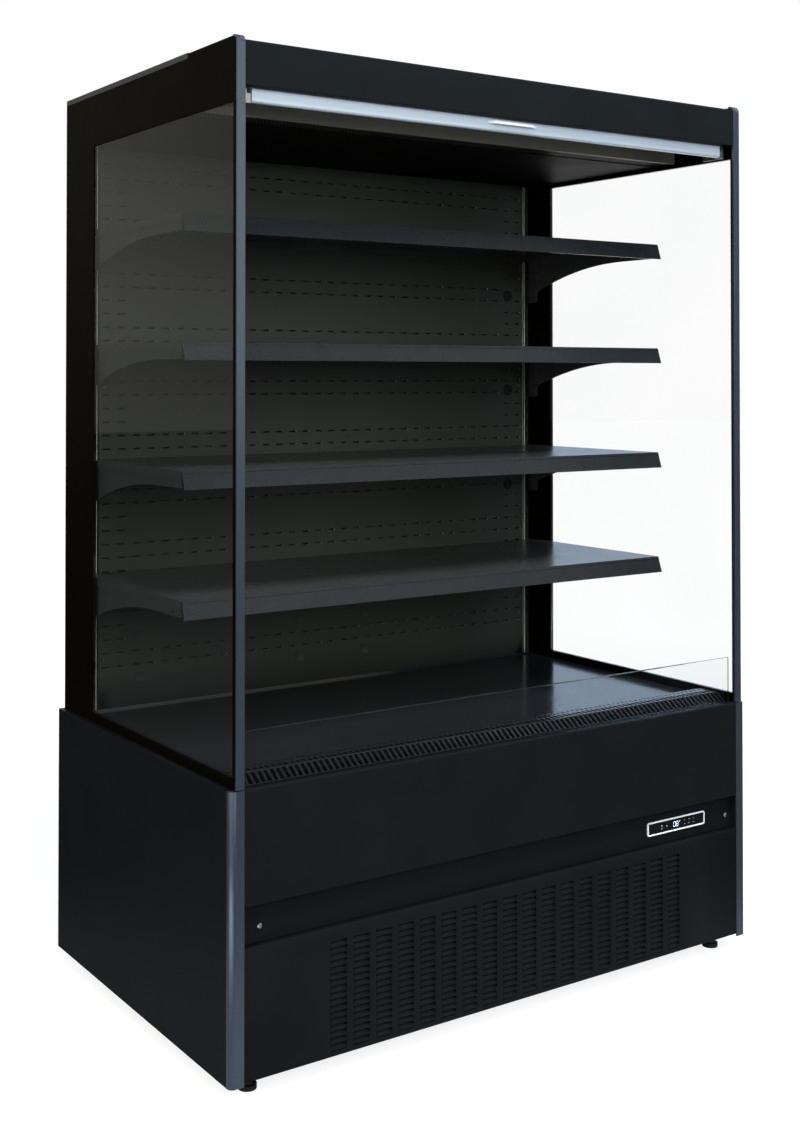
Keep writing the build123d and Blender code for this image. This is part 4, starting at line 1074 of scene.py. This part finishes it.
@dataclass
class IntakeGrille(SheetMetal):
    """The air intake before the deck: three rows of holes along a folded strip."""

    columns: int = 95
    rise_start: float = 11.5  # foot's height up to the slope
    slope_depth: float = 27.0
    slope_rise: float = 18.5
    short_row: float = 26.0
    # The holes of the slope, of the short row behind it and of the last row.
    holes: tuple[tuple[float, float], ...] = ((8.5, 28.0), (8.5, 18.0), (6.5, 6.5))

    def build(self) -> None:
        """Fold the strip and punch its rows."""
        low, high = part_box("intake_grille")
        crest_y = low.y + self.slope_depth * MM
        slope_z = high.z - self.slope_rise * MM
        profile = [
            (low.y, slope_z - self.rise_start * MM),
            (low.y, slope_z),
            (crest_y, high.z),
            (crest_y + self.short_row * MM, high.z),
            (high.y, high.z),
            (high.y, low.z),
        ]
        rows = len(profile) - 1
        shape = upright_grid(self.columns, rows, (high.x - low.x) / self.columns, 1.0)
        for vert in shape.verts:
            vert.co.y, vert.co.z = profile[round(vert.co.z + rows / 2)]
        for row, (wide, long) in enumerate(self.holes, start=1):
            cells = [face for face in shape.faces if self.row_of(face, profile) == row]
            self.punch(shape, cells, wide * MM, long * MM)
        piece = make_piece("grille_strip", shape, DECK_COAT, replaces=["intake_grille"])
        thicken(piece, self.sheet_mm)

    @staticmethod
    def row_of(face: Face, profile: Sequence[tuple[float, float]]) -> int:
        """Tell which whole, unpunched row of the strip a face is in.

        Args:
            face: a face of the strip.
            profile: the strip's corners along its way, as Y and Z in metres.

        Returns:
            The row's number, or -1 in none.
        """
        if len(face.verts) != 4:
            return -1
        spans = [sorted(v.co[axis] for v in face.verts) for axis in (1, 2)]
        for i, ends in enumerate(zip(profile, profile[1:])):
            wanted = [sorted(pair) for pair in zip(*ends)]
            if all(
                abs(span[end] - want[end]) < WELD_GAP
                for span, want in zip(spans, wanted)
                for end in (0, -1)
            ):
                return i
        return -1


@dataclass
class BackPanel(SheetMetal):
    """The perforated rear wall of the display space."""

    sheet_mm: float = 1.5
    columns: int = 33
    rows: int = 38
    pitch_x: float = 37.75
    pitch_z: float = 31.25
    slot: tuple[float, float] = (19.0, 3.4)
    lowest_row: float = 676.25
    pair_period: int = 4
    edge_columns: int = 2
    tab_size: float = 24.0
    tab_stand: float = 0.6
    tab_frame: float = 1.2
    tab_raise: float = 0.5
    tab_places: tuple[float, ...] = (-518.5, -92.0, 98.7)
    tab_levels: tuple[float, ...] = (742.5, 648.0)
    plug_x: float = 570.0
    plug_levels: tuple[float, ...] = (1565.0, 1307.0, 1048.0)
    plug_clear: float = 20.0  # no slot within this of a plug
    screw_x: float = 609.5
    screw_head: float = 4.0
    screw_levels: tuple[float, ...] = (1319.0, 695.0)

    def build(self) -> None:
        """Make the sheet, its tabs, plugs and screws."""
        low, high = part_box("back_panel")
        shape = upright_grid(self.columns, self.rows, self.pitch_x * MM, self.pitch_z * MM)
        middle = (self.lowest_row + (self.rows - 1) / 2 * self.pitch_z) * MM
        bmesh.ops.translate(shape, vec=(0, low.y, middle), verts=shape.verts)
        self.punch(shape, [f for f in shape.faces if self.has_slot(f)], *(s * MM for s in self.slot))
        side = high.x - self.columns * self.pitch_x * MM / 2
        for way in (-1, 1):
            self.push_border(shape, 0, way, (way * side, 0, 0))
        half = self.rows * self.pitch_z * MM / 2
        self.push_border(shape, 2, 1, (0, 0, high.z - middle - half))
        self.push_border(shape, 2, -1, (0, 0, low.z - middle + half))
        for way in (-1, 1):
            self.push_border(shape, 0, way, (0, high.y - low.y, 0))
        piece = make_piece("rear_wall", shape, LINER_COAT, replaces=["back_panel"])
        # The slots' rims take the near-white edge finish: bare edge and painted highlight.
        piece.data.materials.append(CUT_EDGE_HIGHLIGHT.material())  # the bare edges of the punched slots
        thicken(piece, self.sheet_mm)
        piece.modifiers["Gauge"].material_offset_rim = 1
        self.tabs(low.y)
        self.plugs(low.y)
        for i, level in enumerate(self.screw_levels):
            for name, way in SIDES:
                place = Vector((way * self.screw_x * MM, low.y, level * MM))
                Screw(head=self.screw_head).build(f"rear_wall_screw_{name}_{i + 1}", place)

    def has_slot(self, face: Face) -> bool:
        """Tell whether a cell of the sheet has a slot: pairs of rows, and all rows at the edges.

        Args:
            face: the cell.

        Returns:
            True where it has one.
        """
        centre = face.calc_center_median()
        column = round(abs(centre.x) / (self.pitch_x * MM))
        row = round((centre.z / MM - self.lowest_row) / self.pitch_z)
        in_line = centre.x > 0 and column == round(self.plug_x / self.pitch_x)
        if in_line and any(abs(centre.z / MM - z) < self.plug_clear for z in self.plug_levels):
            return False
        edge = column > (self.columns - 1) // 2 - self.edge_columns
        return edge or row % self.pair_period in (0, 1)

    def tabs(self, face_y: float) -> None:
        """Cut the square knock-out tabs: a raised tongue in a thin frame of shadow.

        Args:
            face_y: the wall's front in metres.
        """
        for i, x in enumerate(self.tab_places):
            for j, z in enumerate(self.tab_levels):
                shape = upright_grid(1, 1, self.tab_size * MM, self.tab_size * MM)
                place = (x * MM, face_y - self.tab_stand * MM, z * MM)
                bmesh.ops.translate(shape, vec=place, verts=shape.verts)
                bmesh.ops.inset_individual(
                    shape, faces=shape.faces, thickness=self.tab_frame * MM, depth=-self.tab_raise * MM
                )
                tab = make_piece(f"knock_out_{i + 1}_{j + 1}", shape, LINER_COAT)
                thicken(tab, self.sheet_mm)

    def plugs(self, face_y: float) -> None:
        """Set the round rubber plugs near the right upright.

        Args:
            face_y: the wall's front in metres.
        """
        profile = [(3.5, -0.4), (4.5, -2.4), (11.0, -3.0), (14.0, -2.0), (15.0, -0.4)]
        for i, level in enumerate(self.plug_levels):
            place = Vector((self.plug_x * MM, face_y, level * MM))
            make_piece(f"wall_plug_{i + 1}", turned(profile, place, ALONG_Y, 28), RUBBER)


@dataclass
class Screw:
    """A domed screw head with a cross recess, facing -Y."""

    head: float = 5.0
    dome: float = 2.2
    steps: int = 16
    recess: float = 0.6  # its reach and its depth, as shares of the head and the dome

    def build(self, name: str, place: Vector, replaces: Iterable[str] = ()) -> None:
        """Set one screw with its head's seat at a place.

        Args:
            name: the piece's name.
            place: the middle of its seat, in metres.
            replaces: CAD nodes that it stands for.
        """
        r, h = self.head, self.dome
        profile = [(0.0, -h), (0.35 * r, -0.97 * h), (0.65 * r, -0.8 * h), (0.88 * r, -0.5 * h)]
        profile += [(r, -0.12 * h), (r, 0.0)]
        shape = turned(profile, Vector((0, 0, 0)), ALONG_Y, self.steps)
        bmesh.ops.dissolve_degenerate(shape, dist=WELD_GAP, edges=shape.edges)
        cross = [face for face in shape.faces if self.on_cross(face)]
        sunk = verts_in(bmesh.ops.extrude_face_region(shape, geom=cross)["geom"])
        bmesh.ops.translate(shape, vec=(0, self.recess * h * MM, 0), verts=sunk)
        bmesh.ops.delete(shape, geom=cross, context="FACES")
        bmesh.ops.translate(shape, vec=place, verts=shape.verts)
        make_piece(name, shape, ZINC, replaces=replaces)

    def on_cross(self, face: Face) -> bool:
        """Tell whether a face of the dome lies on one of the recess's four arms.

        Args:
            face: a face of the dome about the origin.

        Returns:
            True where it does.
        """
        centre = face.calc_center_median()
        turn = math.degrees(math.atan2(centre.z, centre.x)) % 90
        within = centre.xz.length < self.recess * self.head * MM
        return within and min(turn, 90 - turn) < 180 / self.steps + 1


@dataclass
class AirOutlet:
    """The honeycomb that straightens the air curtain under the canopy."""

    cell: float = 9.0  # across flats
    wall: float = 0.5
    rim: float = 3.0
    join: float = 0.2  # corners of neighbouring cells within this are one

    def build(self) -> None:
        """Fill the outlet with hexagonal cells inside a rim."""
        low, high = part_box("honeycomb_grille")
        rim = self.rim * MM
        pitch = self.cell * MM
        radius = pitch / math.sqrt(3)
        shape = bmesh.new()
        columns = int((high.x - low.x - 2 * rim) / pitch)
        rows = int((high.y - low.y - 2 * rim - radius / 2) / (1.5 * radius))
        start_x = -(columns - 1) * pitch / 2
        start_y = (low.y + high.y) / 2 - (rows - 1) * 0.75 * radius
        upright = Matrix.Rotation(math.pi / 6, 3, "Z")
        for row in range(rows):
            shift = pitch / 2 if row % 2 else 0
            for column in range(columns - row % 2):
                centre = Vector((start_x + column * pitch + shift, start_y + row * 1.5 * radius, 0))
                cell = bmesh.ops.create_circle(shape, cap_ends=False, radius=radius, segments=6)
                bmesh.ops.rotate(shape, matrix=upright, verts=cell["verts"])
                bmesh.ops.translate(shape, vec=centre, verts=cell["verts"])
        bmesh.ops.remove_doubles(shape, verts=shape.verts, dist=self.join * MM)
        tops = verts_in(bmesh.ops.extrude_edge_only(shape, edges=shape.edges)["geom"])
        bmesh.ops.translate(shape, vec=(0, 0, high.z - low.z), verts=tops)
        bmesh.ops.translate(shape, vec=(0, 0, low.z), verts=shape.verts)
        cells = make_piece(
            "air_straightener", shape, OUTLET_PLASTIC, replaces=["honeycomb_grille"],
            smooth=False, turn=False,
        )
        thicken(cells, self.wall, offset=0, even=False)
        self.frame_rim(low, high)

    def frame_rim(self, low: Vector, high: Vector) -> None:
        """Make the rim that holds the cells.

        Args:
            low: the outlet's low corner.
            high: its high corner.
        """
        shape = bmesh.new()
        add_box(shape, high - low, (low + high) / 2)
        flats = [face for face in shape.faces if abs(face.normal.z) > 0.9]
        bmesh.ops.inset_individual(shape, faces=flats, thickness=self.rim * MM)
        bmesh.ops.bridge_loops(shape, edges=[e for face in flats for e in face.edges])
        bmesh.ops.delete(shape, geom=flats, context="FACES_ONLY")
        make_piece("air_straightener_rim", shape, OUTLET_RIM)


@dataclass
class NightBlind:
    """The blind: cloth wound on its tube, and the drop down to the bar."""

    cloth: float = 0.5
    wall: float = 0.4  # the cloth's drawn thickness, which keeps its layers apart
    layer_gap: float = 0.05
    tube_gap: float = 0.4
    steps: int = 24
    travel: float = 1175.0  # how far the bar comes down

    def build(self) -> None:
        """Wind the roll and hang the drop."""
        self.wind()
        self.hang()

    def map_cloth(self, shape: Shape, length_at: Callable[[Vector], float]) -> None:
        """Lay the cloth's own map over it, in metres of width and length.

        Args:
            shape: the cloth's mesh.
            length_at: gives how far along the cloth a place lies.
        """
        layer = shape.loops.layers.uv.new(CLOTH.fibre_map)
        for face in shape.faces:
            for loop in face.loops:
                loop[layer].uv = (loop.vert.co.x, length_at(loop.vert.co))

    def wind(self) -> None:
        """Wind the cloth on the tube as one spiral from a formula."""
        low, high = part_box("blind_roll")
        tube_low, tube_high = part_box("blind_tube")
        inner = (tube_high.z - tube_low.z) / 2 + self.tube_gap * MM
        outer = (high.z - low.z) / 2 - self.cloth * MM / 2
        pitch = (self.cloth + self.layer_gap) * MM
        axis_y, axis_z = (low.y + high.y) / 2, (low.z + high.z) / 2
        count = int((outer - inner) / pitch * self.steps)
        shape = bmesh.new()
        verts, lengths, along = [], {}, 0.0
        for i in range(count + 1):
            turn = 2 * math.pi * (i - count) / self.steps
            radius = inner + pitch * i / self.steps
            point = Vector((low.x, axis_y - radius * math.cos(turn), axis_z + radius * math.sin(turn)))
            along += (point - verts[-1].co).length if verts else 0.0
            verts.append(shape.verts.new(point))
            lengths[round(point.y, 7), round(point.z, 7)] = along
        edges = [shape.edges.new(pair) for pair in zip(verts, verts[1:])]
        far = verts_in(bmesh.ops.extrude_edge_only(shape, edges=edges)["geom"])
        bmesh.ops.translate(shape, vec=(high.x - low.x, 0, 0), verts=far)
        self.map_cloth(shape, lambda place: lengths[round(place.y, 7), round(place.z, 7)])
        roll = make_piece("blind_cloth_roll", shape, CLOTH, Body.ROLLER, ["blind_roll"])
        thicken(roll, self.wall, offset=0, even=False)

    def hang(self) -> None:
        """Hang the short drop from the roll to the bar."""
        low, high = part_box("blind_drop")
        wide, tall = high.x - low.x, high.z - low.z
        middle = (low + high) / 2
        shape = upright_grid(24, 12, wide / 24, tall / 12)
        bmesh.ops.translate(shape, vec=middle, verts=shape.verts)
        # The weave is laid out for the drop at its longest, with the bar's travel added.
        full = 1 + self.travel * MM / tall
        self.map_cloth(shape, lambda place: (high.z - place.z) * full)
        drop = make_piece("blind_cloth_drop", shape, CLOTH, None, ["blind_drop"], smooth=False)
        thicken(drop, self.wall, offset=0, even=False)
        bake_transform(drop)


@dataclass
class Controller:
    """The temperature display: window, lit digits and touch marks."""

    digit_high: float = 11.0
    digit_wide: float = 6.0
    segment: float = 1.1
    digit_gap: float = 8.5
    shown: str = "08"
    digits_from_middle: float = -6.0
    bar_deep: float = 0.3
    bar_ease: float = 0.1

    # Which of the seven bars each numeral lights: top, upper right, lower right, bottom,
    # lower left, upper left and middle.
    NUMERALS = {"0": "1111110", "8": "1111111"}
    # The degree mark's four bars: place, width and height.
    DEGREE = ((0, 1.2, 1.6, 0.5), (0, -1.2, 1.6, 0.5), (1.1, 0, 0.5, 1.8), (-1.1, 0, 0.5, 1.8))

    def build(self) -> None:
        """Light the digits and the marks on the display window."""
        low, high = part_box("controller_display")
        self.face = low.y
        self.middle = (low + high) / 2
        self.digits()
        self.marks()

    def bar(self, shape: Shape, x: float, z: float, wide: float, high: float) -> None:
        """Add one small bevelled bar to the window's face.

        Args:
            shape: the mesh that it joins.
            x: its middle across the window, in millimetres.
            z: its middle up the window, in millimetres.
            wide: its width in millimetres.
            high: its height in millimetres.
        """
        place = self.middle + Vector((x * MM, 0, z * MM))
        place.y = self.face - self.bar_ease * MM
        made = add_box(shape, (wide * MM, self.bar_deep * MM, high * MM), place)
        edges = list({edge for vert in made for edge in vert.link_edges})
        round_off(shape, edges, self.bar_ease * MM, 1)

    def digits(self) -> None:
        """Build the lit numerals and the degree mark from seven-segment bars."""
        wide, high, bar = self.digit_wide, self.digit_high, self.segment
        half_w, quarter = wide / 2, high / 4
        spots = [
            (0, 2 * quarter, wide - bar, bar),
            (half_w, quarter, bar, high / 2 - bar),
            (half_w, -quarter, bar, high / 2 - bar),
            (0, -2 * quarter, wide - bar, bar),
            (-half_w, -quarter, bar, high / 2 - bar),
            (-half_w, quarter, bar, high / 2 - bar),
            (0, 0, wide - bar, bar),
        ]
        shape = bmesh.new()
        for place, numeral in enumerate(self.shown):
            x = self.digits_from_middle + place * self.digit_gap
            for lit, (dx, dz, w, h) in zip(self.NUMERALS[numeral], spots):
                if lit == "1":
                    self.bar(shape, x + dx, dz, w, h)
        x = self.digits_from_middle + len(self.shown) * self.digit_gap - 1.0
        for dx, dz, w, h in self.DEGREE:
            self.bar(shape, x + dx, quarter * 2 - 1.0 + dz, w, h)
        make_piece("display_digits", shape, LIT, smooth=False)

    def marks(self) -> None:
        """Build the dim touch marks either side of the digits."""
        shape = bmesh.new()
        for x in (26.0, 40.0, 54.0):
            for z in (-4.5, 4.5):
                self.bar(shape, x, z, 4.0, 0.6)
        for x, z in ((-30.0, 0.0), (-46.0, 3.0), (-46.0, -3.0)):
            self.bar(shape, x, z, 2.4, 2.4)
        make_piece("display_marks", shape, MARK, smooth=False)


@dataclass
class ShelfFittings:
    """What one shelf carries: studs and dotted tabs on its brackets, and its price rail's bead."""

    number: int
    stud_back: float = 42.0  # behind the tray's front
    stud_drop: float = 26.0  # below the tray's top
    stud_radius: float = 3.2
    tab_start: float = 2.6
    tab_end: float = 12.8
    tab_top: float = 2.0
    tab_foot: float = 34.0
    tab_sheet: float = 1.2
    tab_ease: float = 0.3
    face_inset: float = 3.0  # the bracket's outer face inside the tray's side
    dots: int = 4
    dot_radius: float = 1.3
    rail_sheet: float = 2.2
    bead_radius: float = 1.1
    bead_ease: float = 0.3
    bead_drop: float = 5.0

    def build(self) -> None:
        """Make the bead, then the studs, tabs and dots of each side."""
        low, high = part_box(f"shelf_{self.number}")
        body = Body[f"SHELF_{self.number}"]
        self.bead(body)
        tall = self.tab_foot - self.tab_top
        size = [s * MM for s in (self.tab_sheet, self.tab_end - self.tab_start, tall)]
        tab_y = low.y + (self.tab_start + self.tab_end) / 2 * MM
        tab_z = high.z - (self.tab_top + self.tab_foot) / 2 * MM
        for name, way in SIDES:
            face_x = way * (high.x - self.face_inset * MM)
            tab = bmesh.new()
            add_box(tab, size, Vector((face_x - way * self.tab_sheet / 2 * MM, tab_y, tab_z)))
            round_off(tab, tab.edges, self.tab_ease * MM, 2)
            make_piece(f"shelf_{self.number}_tab_{name}", tab, SHELF_COAT_PAINTED_LIGHT, body)
            knobs = bmesh.new()
            step = tall / self.dots
            places = [
                (tab_y, high.z - (self.tab_top + step * (i + 0.5)) * MM, self.dot_radius)
                for i in range(self.dots)
            ]
            stud_z = high.z - self.stud_drop * MM
            places.append((low.y + self.stud_back * MM, stud_z, self.stud_radius))
            for y, z, radius in places:
                profile = [(0.0, 0.7), (0.6 * radius, 0.6), (radius, 0.15), (radius, -0.2)]
                knob = turned(profile, Vector((face_x, y, z)), Vector((way, 0, 0)), 12)
                mesh = bpy.data.meshes.new("knob")
                knob.to_mesh(mesh)
                knob.free()
                knobs.from_mesh(mesh)
                bpy.data.meshes.remove(mesh)
            make_piece(f"shelf_{self.number}_dots_{name}", knobs, GALVANISED, body)

    def bead(self, body: Body) -> None:
        """Run the rounded bead along the price rail, under its upper edge.

        Args:
            body: the shelf that carries it.
        """
        low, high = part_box(f"ticket_strip_{self.number}")
        rail = self.rail_sheet * MM
        lean = (high.y - low.y - rail) / (high.z - low.z)
        drop = self.bead_drop * MM
        place = Vector((0, high.y - rail - lean * drop, high.z - drop))
        half, r, ease = high.x / MM, self.bead_radius, self.bead_ease
        profile = [(0.0, -half), (r - ease, -half), (r, ease - half)]
        profile += [(r, half - ease), (r - ease, half), (0.0, half)]
        shape = turned(profile, place, Vector((1, 0, 0)), 12)
        make_piece(f"ticket_bead_{self.number}", shape, TICKET_PLASTIC, body)


@dataclass
class SmallFittings:
    """Screws of the recessed strip and the rear cover, and the near-white strips of painted highlight along
    the uprights' edges.
    """

    strip_screw_head: float = 5.0
    rear_screws: int = 5
    rear_screw_inset: float = 12.0
    highlight_wide: float = 1.8
    highlight_deep: float = 1.0
    highlight_ease: float = 0.3
    highlight_inset: float = 29.0  # in from the upright's outer side
    highlight_stand: float = 0.6

    def build(self) -> None:
        """Place every small fitting."""
        low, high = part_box("panel_screws")
        strip_low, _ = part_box("controller_strip")
        level = (low.z + high.z) / 2
        inset = (high.z - low.z) / 2
        for name, x in (("left", low.x + inset), ("right", high.x - inset)):
            place = Vector((x, strip_low.y, level))
            Screw(self.strip_screw_head).build(f"strip_screw_{name}", place, ["panel_screws"])
        self.rear_cover_screws()
        self.upright_highlight_strips()

    def upright_highlight_strips(self) -> None:
        """Lay a near-white strip along each upright's inner corner: a painted highlight on the edge of its
        flange.
        """
        low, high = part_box("uprights")
        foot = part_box("deck_tray")[1].z + 1 * MM
        size = (self.highlight_wide * MM, self.highlight_deep * MM, high.z - foot)
        for name, way in SIDES:
            shape = bmesh.new()
            x = way * (high.x - self.highlight_inset * MM)
            add_box(shape, size, Vector((x, low.y - self.highlight_stand * MM, (foot + high.z) / 2)))
            tall = [e for e in shape.edges if abs(e.verts[0].co.z - e.verts[1].co.z) > 0.1]
            round_off(shape, tall, self.highlight_ease * MM, 2)
            make_piece(f"upright_highlight_strip_{name}", shape, CUT_EDGE_HIGHLIGHT)

    def rear_cover_screws(self) -> None:
        """Run a row of screws down each side of the rear cover."""
        low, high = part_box("insulated_back")
        inset = self.rear_screw_inset * MM
        profile = [(0.0, 2.0), (2.2, 1.9), (4.0, 1.2), (4.6, 0.2), (4.6, 0.0)]
        for i in range(self.rear_screws):
            z = low.z + (high.z - low.z) * (i + 0.5) / self.rear_screws
            for side, x in (("left", low.x + inset), ("right", high.x - inset)):
                shape = turned(profile, Vector((x, high.y, z)), ALONG_Y, 14)
                make_piece(f"rear_cover_screw_{side}_{i + 1}", shape, ZINC)


def main() -> None:
    """Build the sub-assemblies in order and report each."""
    logging.basicConfig(level=logging.INFO, format="%(message)s")
    bpy.context.scene.view_settings.view_transform = "Standard"
    for part in (
        Studio(),
        Casework(),
        LouvrePanel(),
        IntakeGrille(),
        BackPanel(),
        AirOutlet(),
        NightBlind(),
        Controller(),
        *(ShelfFittings(number) for number in SHELVES),
        SmallFittings(),
    ):
        part.build()
        log.info("built %s", type(part).__name__)


if __name__ == "__main__":
    main()
